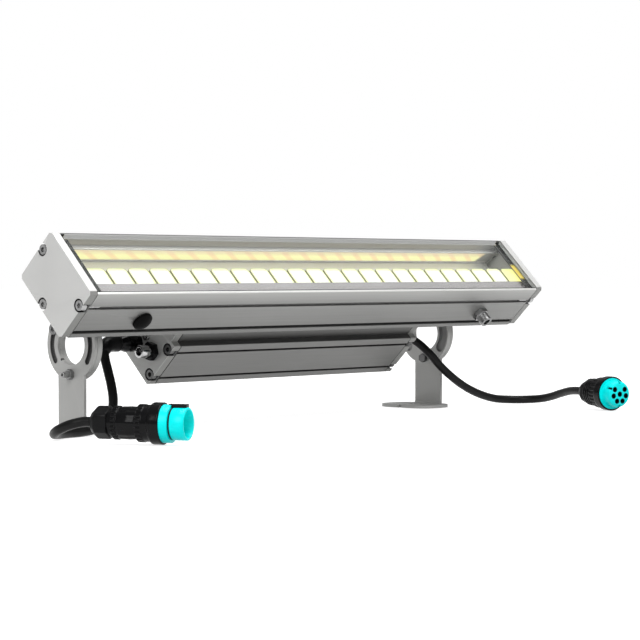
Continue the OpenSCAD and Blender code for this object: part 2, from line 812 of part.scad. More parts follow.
// A point at a radius and an angle, in the plane of Y and Z.
function polar(r, a) = r * [cos(a), sin(a)];

// An arc slot about the axis between two angles: outer edge, round end, inner edge, round end.
module arc_slot(from, to, radius, width) {
    step = (to - from) / slot_step_count;
    turn = 180 / slot_end_step_count;
    outer = [for (i = [0:slot_step_count]) polar(radius + width / 2, from + i * step)];
    inner = [for (i = [0:slot_step_count]) polar(radius - width / 2, to - i * step)];
    upper = [for (i = [1:slot_end_step_count - 1]) polar(radius, to) + polar(width / 2, to + i * turn)];
    lower = [for (i = [1:slot_end_step_count - 1])
        polar(radius, from) + polar(width / 2, from + 180 + i * turn)];
    polygon(concat(outer, upper, inner, lower));
}

// Both slots, mirrored about the upright through the axis.
module slot_pair(from, to, radius, width) {
    arc_slot(from, to, radius, width);
    mirror([1, 0]) arc_slot(from, to, radius, width);
}

// Turns the rest pose's upright frame into the tilting frame, for what is drilled with the ring upright.
module upright_on_disc() {
    rotate([-tilt, 0, 0]) children();
}

// Places of the two slot bolts, at rest, about the tilt axis.
module slot_bolt_places() {
    for (s = [-1, 1])
        translate([0, s * bolt_circle * cos(bolt_rise), bolt_circle * sin(bolt_rise)]) children();
}

module arm_screw_places(s) {
    for (t = [-1, 1])
        translate([s * (disc_in_x - arm_screw_share * flange_l), t * arm_screw_side_share * arm_w, 0])
            children();
}

// Left swivel arm: a ring disc, the arm up to the bar, and its flange along the bar's back.
module swivel_arm() {
    difference() {
        union() {
            slab_x(-disc_out_x, disc_t) {
                circle(ring_r);
                translate([-arm_w / 2, 0]) square([arm_w, bar_off]);
            }
            translate([-disc_out_x, -arm_w / 2, bar_off - flange_t])
                cube([flange_l + disc_t, arm_w, flange_t]);
        }
        rod_x(-disc_out_x - over, disc_t + 2 * over, ring_hole_r);
        upright_on_disc() {
            slot_bolt_places() rod_x(-disc_out_x - over, disc_t + 2 * over, hole_r);
            translate([0, 0, -lock_r]) rod_x(-disc_out_x - over, disc_t + 2 * over, hole_r);
            slab_x(-disc_in_x - pocket_d, pocket_d + over)
                slot_pair(-pocket_low, pocket_high, bolt_circle, pocket_w);
        }
        translate([0, 0, bar_off - flange_t - over]) arm_screw_places(-1)
            cylinder(r = hole_r, h = flange_t + 2 * over);
    }
}

module left_swivel_arm() color("silver") tilted() side(-1) swivel_arm();
module right_swivel_arm() color("silver") tilted() side(1) swivel_arm();

module arm_screws(s) {
    tilted() translate([0, 0, bar_off - flange_t]) arm_screw_places(s) {
        translate([0, 0, -button_h]) cylinder(d = button_d, h = button_h);
        translate([0, 0, -over]) cylinder(r = screw_r, h = flange_t + back_t + over);
    }
}

module left_arm_screws() color("dimgray") arm_screws(-1);
module right_arm_screws() color("dimgray") arm_screws(1);

// Button head bolts through the bracket's slots into the disc.
module slot_bolts() {
    head_x = -bracket_x - head_gap;
    slot_bolt_places() difference() {
        union() {
            rod_x(head_x - button_h, button_h, button_d / 2);
            rod_x(head_x - over, bracket_x - disc_in_x + head_gap + over, screw_r);
        }
        hex_x(head_x - button_h - over, socket_depth_share * button_h + over, key_af);
    }
}

module left_slot_bolts() color("dimgray") translate([0, 0, axis_h]) side(-1) slot_bolts();
module right_slot_bolts() color("dimgray") translate([0, 0, axis_h]) side(1) slot_bolts();

module slot_nuts() {
    slot_bolt_places() difference() {
        hex_x(-disc_in_x - pocket_d, nut_h, nut_af);
        rod_x(-disc_in_x - pocket_d - over, nut_h + 2 * over, hole_r);
    }
}

module left_slot_nuts() color("dimgray") translate([0, 0, axis_h]) side(-1) slot_nuts();
module right_slot_nuts() color("dimgray") translate([0, 0, axis_h]) side(1) slot_nuts();

// Hexagon bolt in the disc at the lowest point, its head on the inner face.
module disc_bolt() {
    translate([0, 0, -lock_r]) {
        hex_x(-disc_in_x, nut_h, nut_af);
        rod_x(-disc_out_x + fit, disc_t - fit + over, screw_r);
    }
}

module left_disc_bolt() color("dimgray") translate([0, 0, axis_h]) side(-1) disc_bolt();
module right_disc_bolt() color("dimgray") translate([0, 0, axis_h]) side(1) disc_bolt();

// Foot plate seen from above, inner edge at x = 0 and outer edge at x = foot_l.
module foot_outline() {
    a = foot_w / 2;
    difference() {
        union() {
            translate([foot_r, -a]) square([foot_l - 2 * foot_r, foot_w]);
            translate([0, -a + foot_r]) square([foot_l, foot_w - 2 * foot_r]);
            for (x = [foot_r, foot_l - foot_r], y = [-a + foot_r, a - foot_r])
                translate([x, y]) circle(foot_r);
        }
        // Room for the bend, with a relief cut on both sides of the leg
        translate([foot_l - bend_out, -leg_w / 2 - relief_w])
            square([bend_out + over, leg_w + 2 * relief_w]);
        translate([-over, -notch_w / 2]) square([notch_d + over, notch_w]);
    }
}

// Left ring bracket: ring and leg in one sheet, bent inwards into the foot.
module bracket() {
    foot_x = -bracket_x + foot_l;
    difference() {
        union() {
            slab_x(-bracket_x, leg_t) {
                translate([0, axis_h]) circle(ring_r);
                translate([-leg_w / 2, bend_out]) square([leg_w, axis_h - bend_out]);
            }
            translate([-bracket_x + bend_out, leg_w / 2, bend_out]) rotate([90, 0, 0])
                linear_extrude(leg_w) intersection() {
                    difference() {
                        circle(bend_out);
                        circle(bend_r);
                    }
                    translate([-bend_out, -bend_out]) square([bend_out, bend_out]);
                }
            mirror([1, 0, 0]) translate([-foot_x, 0, 0]) linear_extrude(leg_t) foot_outline();
            translate([-bracket_x + bend_out, -leg_w / 2, 0]) cube([leg_w / 2, leg_w, leg_t]);
        }
        translate([0, 0, axis_h]) {
            rod_x(-bracket_x - over, leg_t + 2 * over, ring_hole_r);
            slab_x(-bracket_x - over, leg_t + 2 * over)
                slot_pair(-slot_low, slot_high, bolt_circle, slot_w);
            translate([0, 0, -lock_r]) rod_x(-bracket_x - over, leg_t + 2 * over, hole_r);
        }
        translate([-hole_x, 0, -over]) cylinder(d = hole_d, h = leg_t + 2 * over);
    }
}

module left_bracket() color("silver") side(-1) bracket();
module right_bracket() color("silver") side(1) bracket();

// Set screw in the leg that bears on the disc, with a socket in its outer end.
module lock_screw() {
    translate([0, 0, axis_h - lock_r]) difference() {
        rod_x(-bracket_x - lock_reach, lock_reach + leg_t, screw_r);
        hex_x(-bracket_x - lock_reach - over, lock_key_af + over, lock_key_af);
    }
}

module left_lock_screw() color("silver") side(-1) lock_screw();
module right_lock_screw() color("silver") side(1) lock_screw();

module lock_nut() {
    translate([0, 0, axis_h - lock_r]) difference() {
        hex_x(-bracket_x - nut_h, nut_h, nut_af);
        rod_x(-bracket_x - nut_h - over, nut_h + 2 * over, hole_r);
    }
}

module left_lock_nut() color("dimgray") side(-1) lock_nut();
module right_lock_nut() color("dimgray") side(1) lock_nut();

// Swept tube: one ring of points square to the route at each of its points.
function unit(v) = v / norm(v);
function heading(p, i) = unit(p[min(i + 1, len(p) - 1)] - p[max(i - 1, 0)]);
function ring_side(t) = unit(cross(t, abs(t[2]) < 0.9 ? [0, 0, 1] : [0, 1, 0]));
function carried(t, s) = unit(s - (s * t) * t);
function sides_along(p, i = 0, s = undef) =
    let (t = heading(p, i), now = s == undef ? ring_side(t) : carried(t, s))
    i == len(p) - 1 ? [now] : concat([now], sides_along(p, i + 1, now));
function ring(c, t, s, r, n) =
    let (u = cross(t, s)) [for (k = [0:n - 1]) c + r * (cos(360 * k / n) * s + sin(360 * k / n) * u)];

module tube(p, r, n) {
    sides = sides_along(p);
    points = [for (i = [0:len(p) - 1]) each ring(p[i], heading(p, i), sides[i], r, n)];
    last = (len(p) - 1) * n;
    walls = [for (i = [0:len(p) - 2], k = [0:n - 1])
        let (a = i * n + k, b = i * n + (k + 1) % n) each [[a, b, b + n], [a, b + n, a + n]]];
    ends = concat([for (k = [1:n - 2]) [0, k + 1, k]],
        [for (k = [1:n - 2]) [last, last + k, last + k + 1]]);
    polyhedron(points, [for (f = concat(walls, ends)) [f[0], f[2], f[1]]], convexity = 4);
}

// A cable's whole line: out of its gland, along its route, and straight into its plug.
function cord_line(s, route, rear, dir) =
    concat([[s * cord_start, 0, axis_h]], route, [rear - cord_d * dir, rear]);

module left_cord() color("black")
    tube(cord_line(-1, left_route, left_plug_at, left_dir), cord_r, cord_sides);
module right_cord() color("black")
    tube(cord_line(1, right_route, right_plug_at, right_dir), cord_r, cord_sides);

// A plug's own frame: +Z out of its mouth, +Y up, origin where the cable enters.
module at_plug(place, turn) {
    translate(place) rotate([90, 0, turn]) children();
}

// Clamping nut: a hexagon with a tapered back, rounded over its corners.
module clamp_nut(length, taper) {
    intersection() {
        cylinder(r = clamp_r, h = length, $fn = 6);
        rotate_extrude() polygon([[0, 0], [clamp_back_r, 0], [clamp_r - clamp_bevel, taper],
            [clamp_r - clamp_bevel, length], [0, length]]);
    }
}

// Section of a sleeve with small grip ribs: each rib is a foot, a flat top and a foot again.
module grip_section(radius) {
    step = 360 / rib_count;
    low_r = radius - rib_d / 2;
    polygon([for (i = [0:rib_count - 1]) each [polar(low_r, (i - rib_foot_share / 2) * step),
        polar(radius, (i - rib_top_share / 2) * step), polar(radius, (i + rib_top_share / 2) * step),
        polar(low_r, (i + rib_foot_share / 2) * step)]]);
}

module male_clamp_nut() color("black") at_plug(left_plug_at, left_turn) clamp_nut(clamp_l, clamp_taper);

module male_shell() color("black") at_plug(left_plug_at, left_turn) {
    core_r = ring_out - sleeve_wall - ring_slack - rib_d;
    knurl_at = clamp_l + neck_l;
    body_at = knurl_at + male_knurl_l;
    translate([0, 0, clamp_l]) cylinder(r = neck_r, h = male_ring_at - clamp_l);
    translate([0, 0, knurl_at]) linear_extrude(male_knurl_l) grip_section(shell_r);
    translate([0, 0, body_at])
        cylinder(r = shell_r - rib_d / 4, h = male_ring_at - body_at - ring_slack);
    translate([0, 0, male_ring_at - over]) cylinder(r = core_r, h = male_ring_l - lip_l + over);
}

// A coupling ring: ribbed at the back, then plain, with a wider lip round the insert's flange.
module coupling_ring(length, grip_l) {
    core_r = ring_out - sleeve_wall - rib_d;
    back_r = ring_out - rib_d;
    lip_at = length - lip_l;
    difference() {
        union() {
            linear_extrude(grip_l) grip_section(back_r + rib_d / 2);
            translate([0, 0, grip_l]) cylinder(r = back_r, h = lip_at - grip_l);
            translate([0, 0, lip_at - sleeve_wall]) cylinder(r = ring_out, h = lip_l + sleeve_wall);
        }
        translate([0, 0, -over]) cylinder(r = core_r, h = length + 2 * over);
        translate([0, 0, lip_at]) cylinder(r = flange_r + ring_slack, h = lip_l + over);
    }
}

module male_coupling_ring() color("black") at_plug(left_plug_at, left_turn) {
    translate([0, 0, male_ring_at]) coupling_ring(male_ring_l, male_ring_knurl);
}

// Contacts stand on a circle with one place left out for the key, and one in the middle.
module pole_places() {
    children();
    for (i = [1:pole_count - 1])
        rotate([0, 0, 90 + i * pole_step]) translate([contact_circle, 0, 0]) children();
}

module male_insert() color("cyan") at_plug(left_plug_at, left_turn) difference() {
    union() {
        translate([0, 0, male_flange_at])
            cylinder(r = flange_r, h = male_cup_at - male_flange_at - male_groove_l);
        translate([0, 0, male_flange_at])
            cylinder(r = cup_r - male_groove_d, h = male_cup_at - male_flange_at + over);
        translate([0, 0, male_cup_at]) cylinder(r = cup_r, h = male_l - male_cup_at);
    }
    translate([0, 0, male_l - cup_depth]) cylinder(r = cup_r - cup_wall, h = cup_depth + over);
}

// Sealing ring in the groove between the flange and the cup.
module male_seal() color("black") at_plug(left_plug_at, left_turn)
    translate([0, 0, male_cup_at - male_groove_l + fit]) difference() {
        cylinder(r = cup_r - ring_slack, h = male_groove_l - 2 * fit);
        translate([0, 0, -over]) cylinder(r = cup_r - male_groove_d + fit, h = male_groove_l + over);
    }

// Black coding key along the top of the cup.
module male_key() color("black") at_plug(left_plug_at, left_turn)
    translate([-key_w / 2, cup_r, male_cup_at]) difference() {
        translate([0, -over, 0]) cube([key_w, key_h + over, key_l]);
        translate([key_w / 2, -cup_r, -over]) cylinder(r = cup_r + fit, h = key_l + 2 * over);
    }

module male_pins() color("gold") at_plug(left_plug_at, left_turn)
    translate([0, 0, male_l - cup_depth]) pole_places() cylinder(r = pin_r, h = pin_l);

module female_clamp_nut() color("black") at_plug(right_plug_at, right_turn)
    clamp_nut(female_clamp_l, female_taper);

module female_shell() color("black") at_plug(right_plug_at, right_turn) {
    core_r = ring_out - sleeve_wall - ring_slack - rib_d;
    translate([0, 0, female_clamp_l])
        cylinder(r = shell_r - sleeve_rib_h, h = female_ring_at - female_clamp_l - ring_slack);
    for (z = [female_clamp_l + sleeve_rib_w:sleeve_rib_pitch:female_ring_at - sleeve_rib_pitch])
        translate([0, 0, z]) cylinder(r = shell_r, h = sleeve_rib_w);
    translate([0, 0, female_ring_at - over])
        cylinder(r = core_r, h = over + female_l - female_ring_at - lip_l);
}

module female_coupling_ring() color("black") at_plug(right_plug_at, right_turn) {
    ring_l = female_l - female_ring_at;
    translate([0, 0, female_ring_at]) coupling_ring(ring_l, ring_l - lip_l - sleeve_wall);
}

// Female insert: a flange under the ring's lip, a round shoulder and a face with contact chambers.
module female_insert() color("cyan") at_plug(right_plug_at, right_turn) {
    base_at = female_l - lip_l + ring_slack;
    face_at = female_l + insert_l;
    shoulder = insert_round_share * insert_r;
    difference() {
        rotate_extrude() {
            translate([0, base_at]) square([flange_r, lip_l]);
            translate([0, base_at]) square([insert_r, face_at - base_at - shoulder]);
            translate([0, base_at]) square([insert_r - shoulder, face_at - base_at]);
            translate([insert_r - shoulder, face_at - shoulder]) circle(shoulder);
        }
        translate([0, 0, face_at - insert_l]) pole_places() cylinder(r = contact_r, h = insert_l + over);
        for (a = [90, 150, 270]) rotate([0, 0, a]) translate([insert_r, 0, face_at])
            cube([2 * slot_mark_w, slot_mark_w, insert_l], center = true);
    }
}

module female_contacts() color("gold") at_plug(right_plug_at, right_turn)
    translate([0, 0, female_l]) pole_places() difference() {
        cylinder(r = contact_r - fit, h = insert_l / 2);
        translate([0, 0, contact_floor]) cylinder(r = pin_r + fit, h = insert_l / 2);
    }

bar_housing();
front_glass();
glass_seal();
light_rail();
led_board();
led_chips();
lens_row();
side_reflector();
left_end_plate();
right_end_plate();
left_end_gasket();
right_end_gasket();
bar_plate_screws();
vent_plug();
pressure_valve();
driver_housing();
driver_module();
left_driver_plate();
right_driver_plate();
left_driver_gasket();
right_driver_gasket();
driver_plate_screws();
link_screws();
feed_bush();
earth_screw();
test_port();
test_port_nut();
left_gland();
right_gland();
left_swivel_arm();
right_swivel_arm();
left_arm_screws();
right_arm_screws();
left_slot_bolts();
right_slot_bolts();
left_slot_nuts();
right_slot_nuts();
left_disc_bolt();
right_disc_bolt();
left_bracket();
right_bracket();
left_lock_screw();
right_lock_screw();
left_lock_nut();
right_lock_nut();
left_cord();
right_cord();
male_clamp_nut();
male_shell();
male_coupling_ring();
male_insert();
male_seal();
male_key();
male_pins();
female_clamp_nut();
female_shell();
female_coupling_ring();
female_insert();
female_contacts();
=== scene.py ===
"""Finish of an outdoor wall washer: a glazed light bar, its driver box, brackets, cords and plugs.

Lengths are in metres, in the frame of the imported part: X along the bar, the lit face to the front
(-Y) and up, the feet on Z = 0. Each piece's place is in its mesh.
"""

import json
import math

import bmesh
import bpy
import numpy as np
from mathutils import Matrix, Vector

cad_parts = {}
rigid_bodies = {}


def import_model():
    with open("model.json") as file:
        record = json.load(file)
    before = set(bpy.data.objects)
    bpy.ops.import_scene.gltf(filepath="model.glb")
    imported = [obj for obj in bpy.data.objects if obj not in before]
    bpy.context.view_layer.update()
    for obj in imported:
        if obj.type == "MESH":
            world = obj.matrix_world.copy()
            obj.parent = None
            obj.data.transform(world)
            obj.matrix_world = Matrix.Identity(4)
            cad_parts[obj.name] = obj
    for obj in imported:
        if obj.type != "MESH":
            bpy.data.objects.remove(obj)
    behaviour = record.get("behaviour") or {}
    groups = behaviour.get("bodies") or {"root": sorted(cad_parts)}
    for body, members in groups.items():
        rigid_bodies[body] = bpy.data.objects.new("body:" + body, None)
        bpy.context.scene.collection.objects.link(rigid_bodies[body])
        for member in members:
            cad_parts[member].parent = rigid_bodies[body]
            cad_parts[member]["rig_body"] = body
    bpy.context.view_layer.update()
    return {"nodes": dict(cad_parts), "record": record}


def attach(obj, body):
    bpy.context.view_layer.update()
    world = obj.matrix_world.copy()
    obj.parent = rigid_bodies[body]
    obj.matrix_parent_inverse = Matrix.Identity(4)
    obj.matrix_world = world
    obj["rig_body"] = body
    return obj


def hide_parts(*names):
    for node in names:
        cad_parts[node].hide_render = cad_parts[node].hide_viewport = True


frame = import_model()

MM = 0.001

# The tilt: how far the lit face leans from straight up to the front, and the axis over the floor
FRONT_UP = math.radians(45.5)
AXIS_H = 73.3 * MM

# Lens row: its pitch and count, its middle to the right of the bar's, and its middle to the front
PITCH = 23.9 * MM
LENSES = 24
ROW_SHIFT = 3.5 * MM
ROW_FRONT = 9 * MM
ROW_START = ROW_SHIFT - LENSES / 2 * PITCH

# Light bar and driver box: outer faces of their end plates, to each side of the middle
BAR_END = 300 * MM
BOX_END = 162 * MM
# From the tilt axis up to the bar's back face; from there up to its hollow, to its rim, and to
# the upper edge of its end plates
BAR_OFF = 46.9 * MM
HOLLOW_LOW = 21.8 * MM
RIM = 50.9 * MM
PLATE_TOP = 53 * MM
# To each side of the middle: the hollow's wall, and the span in the side grooves painted dark as
# shade
HOLLOW_HALF = 32.7 * MM
GROOVE_SHADE = (28.7 * MM, 33.9 * MM)
# Heights over the tilt axis between which painted light brightens the walls, below and above
# the upper groove
LOWER_WALL = (BAR_OFF, 80 * MM)
UPPER_WALL = (83 * MM, BAR_OFF + 51 * MM)
# To each side of the middle: the span over which painted shade darkens the hollow towards its wall
HOLLOW_SHADE = (28 * MM, 31 * MM)
# Grooves, bar first: height over the tilt axis, and half the height of the opening
GROOVES = ((81.9 * MM, 1.9 * MM), (53.9 * MM, 2.0 * MM),
           (23.2 * MM, 1.4 * MM), (-8.4 * MM, 1.4 * MM))
# Neck between bar and driver box: its foot over the tilt axis
NECK_FOOT = 31.2 * MM
# Screws of the end plates: Y and Z from the tilt axis, and the counterbore's radius
BAR_PORTS = ((-31.5 * MM, 81.9 * MM), (31.5 * MM, 81.9 * MM), (0, 50.65 * MM))
BOX_PORTS = tuple((side * 29.8 * MM, z * MM) for side in (-1, 1) for z in (23.2, -8.4))
COUNTERBORE_R = 5.7 * MM

# Reflector strip, over the bar's back face: heights between which the row's painted reflection
# fades in at its foot, fades out at its top, and turns browner; the upper edge of the foot below
# it, which painted light brightens; how far the reflection leans for its height, and where it ends
# to the right
IMAGE_FOOT = (24 * MM, 26 * MM)
IMAGE_TOP = (39.5 * MM, 41.4 * MM)
IMAGE_BROWN = (31 * MM, 40 * MM)
STRIP_FOOT = 25.5 * MM
IMAGE_LEAN = 1.6
IMAGE_END = 270.5 * MM

# Front seal: inner edge of its broad end strips, the rear edge of the glass opening, and the spans
# of X and Y of the painted golden reflection
SEAL_EDGE = 286 * MM
SEAL_REAR = 29.75 * MM
GOLD_X = (283.2 * MM, 290 * MM)
GOLD_Y = (-17 * MM, 1.5 * MM)
# Rubber lip inside the glass at each end: its outer end, how far it reaches in, half its length,
# and its bottom and top over the bar's back face
LIP_END = 286.1 * MM
LIP_REACH = 3.4 * MM
LIP_HALF = 30.4 * MM
LIP_LEVELS = (46.7 * MM, 47.4 * MM)

# Brackets: the span of X in which the arc slots' walls lie, and the slots' radii
SLOT_WALLS = (235.4 * MM, 237.7 * MM)
SLOT_RADII = (20.5 * MM, 28 * MM)
# Small notch on a bracket ring's inner edge, shown only as a spot of painted shade: Y and Z, and
# its radius
NOTCH = (12.2 * MM, AXIS_H - 12.6 * MM)
NOTCH_R = 1.1 * MM
# Swivel discs: the face behind the bracket, the nut pockets' floor, and the shaded ring's radii
DISC_FACE = 232.4 * MM
POCKET_FLOOR = 230 * MM
DISC_RADII = (18.6 * MM, 29.8 * MM)

# Female plug: the insert's face from where the cable enters, the radius within which painted shade
# darkens it behind the face, the circle its contact chambers lie on, and their own radius
FEMALE_FACE = 57.45 * MM
FEMALE_SHADE_R = 10.6 * MM
POLE_R = 7.35 * MM
CHAMBER_R = 2.6 * MM

# A level that no piece reaches, for end plates without a painted highlight on their upper edge
ABOVE_ALL = 1.0
# Edges sharper than this are shaded and eased as edges; on soft shapes only those sharper still
EDGE_ANGLE = math.radians(32)
SOFT_SHAPE_ANGLE = math.radians(50)

# Camera: eye, heading from +Y towards +X, dip, and focal length on a 36 mm sensor
EYE = (-1.4173, -1.35975, 0.1351)
HEADING = math.radians(47.64)
DIP = math.radians(1.304)
FOCAL = 119.2


def set_camera():
    """The photograph's view, level in roll, from the left front and just above the bar."""
    data = bpy.data.cameras.new("camera")
    data.sensor_width = 36
    data.lens = FOCAL
    data.clip_start = 0.1
    camera = bpy.data.objects.new("camera", data)
    camera.location = EYE
    level = math.cos(DIP)
    aim = Vector((math.sin(HEADING) * level, math.cos(HEADING) * level, -math.sin(DIP)))
    camera.rotation_euler = aim.to_track_quat("-Z", "Y").to_euler()
    bpy.context.scene.collection.objects.link(camera)
    bpy.context.scene.camera = camera


# Node trees


class Finish:
    """One material, with short calls that add nodes to its tree and join them."""

    def __init__(self, name):
        self.material = bpy.data.materials.new(name)
        self.material.use_nodes = True
        self.tree = self.material.node_tree
        self.shader = self.tree.nodes["Principled BSDF"]
        self.out = self.tree.nodes["Material Output"]

    def node(self, kind, **settings):
        """A node of that kind; settings are its own properties."""
        made = self.tree.nodes.new(kind)
        for key, value in settings.items():
            setattr(made, key, value)
        return made

    def feed(self, socket, value):
        """Joins a socket, or sets a constant on it."""
        if isinstance(value, bpy.types.NodeSocket):
            self.tree.links.new(value, socket)
        else:
            socket.default_value = value

    def set(self, **values):
        """Sets or joins the shader's own sockets; an underscore in a name stands for a space."""
        for key, value in values.items():
            self.feed(self.shader.inputs[key.replace("_", " ")], value)

    def place(self):
        """Object coordinates, which are the part's own metres."""
        return self.node("ShaderNodeTexCoord").outputs["Object"]

    def moved(self, vector, location=(0, 0, 0), rotation=(0, 0, 0), scale=(1, 1, 1), kind="POINT"):
        """The coordinates moved, turned and stretched."""
        mapping = self.node("ShaderNodeMapping", vector_type=kind)
        for socket, value in zip(list(mapping.inputs)[1:], (location, rotation, scale)):
            socket.default_value = value
        self.feed(mapping.inputs[0], vector)
        return mapping.outputs[0]

    def on_bar(self):
        """Coordinates of the tilted bar: along it, across it, and up from the tilt axis."""
        return self.moved(self.place(), (0, 0, AXIS_H), (FRONT_UP, 0, 0), kind="TEXTURE")

    def noise(self, vector, scale, detail=2.0, roughness=0.5):
        """Value of a soft noise from 0 to 1."""
        made = self.node("ShaderNodeTexNoise")
        self.feed(made.inputs["Vector"], vector)
        made.inputs["Scale"].default_value = scale
        made.inputs["Detail"].default_value = detail
        made.inputs["Roughness"].default_value = roughness
        return made.outputs[0]

    def span(self, value, low, high, to_low=0.0, to_high=1.0, smooth=False):
        """The value's range from low to high, spread from to_low to to_high."""
        made = self.node("ShaderNodeMapRange")
        if smooth:
            made.interpolation_type = "SMOOTHSTEP"
        for socket, number in zip(made.inputs, (value, low, high, to_low, to_high)):
            self.feed(socket, number)
        return made.outputs[0]

    def math(self, operation, *values):
        """A sum on one, two or three values."""
        made = self.node("ShaderNodeMath", operation=operation)
        for socket, value in zip(made.inputs, values):
            self.feed(socket, value)
        return made.outputs[0]

    def blend(self, factor, first, second, mode="MIX"):
        """Two colours mixed by a factor."""
        made = self.node("ShaderNodeMix", data_type="RGBA", blend_type=mode)
        self.feed(made.inputs[0], factor)
        for socket, colour in zip((made.inputs[6], made.inputs[7]), (first, second)):
            self.feed(socket, colour if isinstance(colour, bpy.types.NodeSocket) else (*colour, 1))
        return made.outputs[2]

    def above(self, value, level, soft=0.1 * MM):
        """1 where the value lies above the level, with a soft edge."""
        return self.span(value, level - soft, level + soft)

    def below(self, value, level, soft=0.1 * MM):
        """1 where the value lies below the level, with a soft edge."""
        return self.span(value, level - soft, level + soft, 1.0, 0.0)

    def both(self, first, second):
        """1 where both places are."""
        return self.math("MULTIPLY", first, second)

    def either(self, first, second):
        """1 where one place or the other is."""
        return self.math("MAXIMUM", first, second)

    def between(self, value, low, high, soft=0.2 * MM):
        """1 where the value lies from low to high, with soft ends."""
        return self.both(self.above(value, low, soft), self.below(value, high, soft))

    def near(self, place, points, high, low=-1 * MM):
        """1 where the distance to a line along X lies from low to high; points give Y and Z.

        Without low, all that lies nearer than high counts.
        """
        flat = self.moved(place, scale=(0, 1, 1))
        found = 0.0
        for y, z in points:
            away = self.node("ShaderNodeVectorMath", operation="DISTANCE")
            self.feed(away.inputs[0], flat)
            away.inputs[1].default_value = (0, y, z)
            found = self.either(found, self.between(away.outputs["Value"], low, high))
        return found

    def parts(self, vector):
        """The three coordinates of a vector."""
        made = self.node("ShaderNodeSeparateXYZ")
        self.feed(made.inputs[0], vector)
        return made.outputs

    def reach(self, x):
        """Distance to either side of the middle."""
        return self.math("ABSOLUTE", x)

    def relief(self, height, strength, distance, under=None):
        """A bump from a height, which may lie over another bump."""
        made = self.node("ShaderNodeBump")
        made.inputs["Strength"].default_value = strength
        made.inputs["Distance"].default_value = distance
        self.feed(made.inputs["Height"], height)
        if under is not None:
            self.feed(made.inputs["Normal"], under)
        return made.outputs[0]

    def worn_edges(self):
        """1 along edges that hands and tools rub, and 0 on faces."""
        return self.span(self.node("ShaderNodeNewGeometry").outputs["Pointiness"], 0.52, 0.6)


def shades(colour, low, high):
    """A colour darkened by one factor, and lightened by the other, up to full."""
    return tuple(c * low for c in colour), tuple(min(c * high, 1) for c in colour)


# Finishes of the metal pieces


def extruded(name, colour):
    """Satin anodised extrusion: die lines along the bar, and clouds of tone.

    Painted light and shade make its walls darker low down and brighter towards the rim, and painted
    shade darkens its neck; its grooves are painted nearly black as shade, the front of its rim has
    a painted highlight and the rear painted shade. The hollow behind the glass is painted lighter
    at the rear and darker towards its walls as light and shade, and a faint painted glow stands for
    the light that the row spills there.
    """
    finish = Finish(name)
    place = finish.on_bar()
    _, y, z = finish.parts(place)[0:3]
    side = finish.reach(y)
    lines = finish.noise(finish.moved(place, scale=(0.6, 260, 260)), 4.0, 3.0, 0.6)
    fine = finish.noise(finish.moved(place, scale=(6, 900, 900)), 3.0, 2.0)
    clouds = finish.noise(finish.moved(place, scale=(1, 4, 4)), 7.0, 3.0)
    tone = finish.math("MULTIPLY_ADD", lines, 0.10, finish.math("MULTIPLY", clouds, 0.10))
    base = finish.blend(finish.span(tone, 0.03, 0.17), *shades(colour, 0.86, 1.08))

    # Painted light and shade: the walls darken low down and brighten towards the rim
    painted_wall_light_and_shade = finish.math("ADD", finish.span(z, *LOWER_WALL, 0.57, 0.73),
                       finish.span(z, *UPPER_WALL, 0.0, 0.40))
    neck = finish.between(z, NECK_FOOT + 0.05 * MM, BAR_OFF - 0.4 * MM, 0.1 * MM)
    # Painted shade under the bar, deepest at the neck's foot
    under = finish.both(neck, finish.span(z, NECK_FOOT, BAR_OFF, 0.70, 0.10))
    painted_wall_light_and_shade = finish.math("MULTIPLY", painted_wall_light_and_shade, finish.math("SUBTRACT", 1.0, under))
    base = finish.blend(1.0, base, painted_wall_light_and_shade, "MULTIPLY")

    # Painted shade: the grooves are nearly black
    groove = 0.0
    for level, half in GROOVES:
        groove = finish.either(groove, finish.between(z, level - half, level + half))
    groove = finish.both(groove, finish.between(side, *GROOVE_SHADE))
    base = finish.blend(groove, base, (0.012, 0.012, 0.012))

    # Painted highlight on the front of the rim, painted shade on its rear
    painted_rim_highlight = finish.both(finish.above(z, BAR_OFF + RIM, 0.3 * MM),
                            finish.below(y, -0.5 * MM, 0.5 * MM))
    base = finish.blend(painted_rim_highlight, base, (0.85, 0.85, 0.83))
    painted_rear_rim_shade = finish.both(finish.above(z, BAR_OFF + RIM - 0.4 * MM, 0.3 * MM),
                           finish.above(y, 0.5 * MM, 0.5 * MM))
    base = finish.blend(painted_rear_rim_shade, base, (0.14, 0.14, 0.14))

    # Hollow: painted light on its rear, painted shade towards its walls, and a faint painted glow
    hollow = finish.both(finish.above(z, BAR_OFF + HOLLOW_LOW), finish.below(side, HOLLOW_HALF))
    inner = finish.blend(finish.above(y, 0, 4 * MM), (0.36, 0.355, 0.36), (0.60, 0.60, 0.58))
    inner = finish.blend(finish.span(side, *HOLLOW_SHADE), inner, (0.30, 0.30, 0.30))
    painted_spill_glow = finish.math("MULTIPLY", hollow, 0.03)
    finish.set(Base_Color=finish.blend(hollow, base, inner))
    finish.set(Emission_Color=(1.0, 0.98, 0.95, 1), Emission_Strength=painted_spill_glow)
    finish.set(Metallic=finish.span(hollow, 0, 1, 0.55, 0.1))
    finish.set(Roughness=finish.span(fine, 0.3, 0.7, 0.36, 0.50))
    finish.set(Normal=finish.relief(lines, 0.10, 0.0002))
    return finish.material


def no_zones(finish):
    """A finish that is the same all over."""
    return []


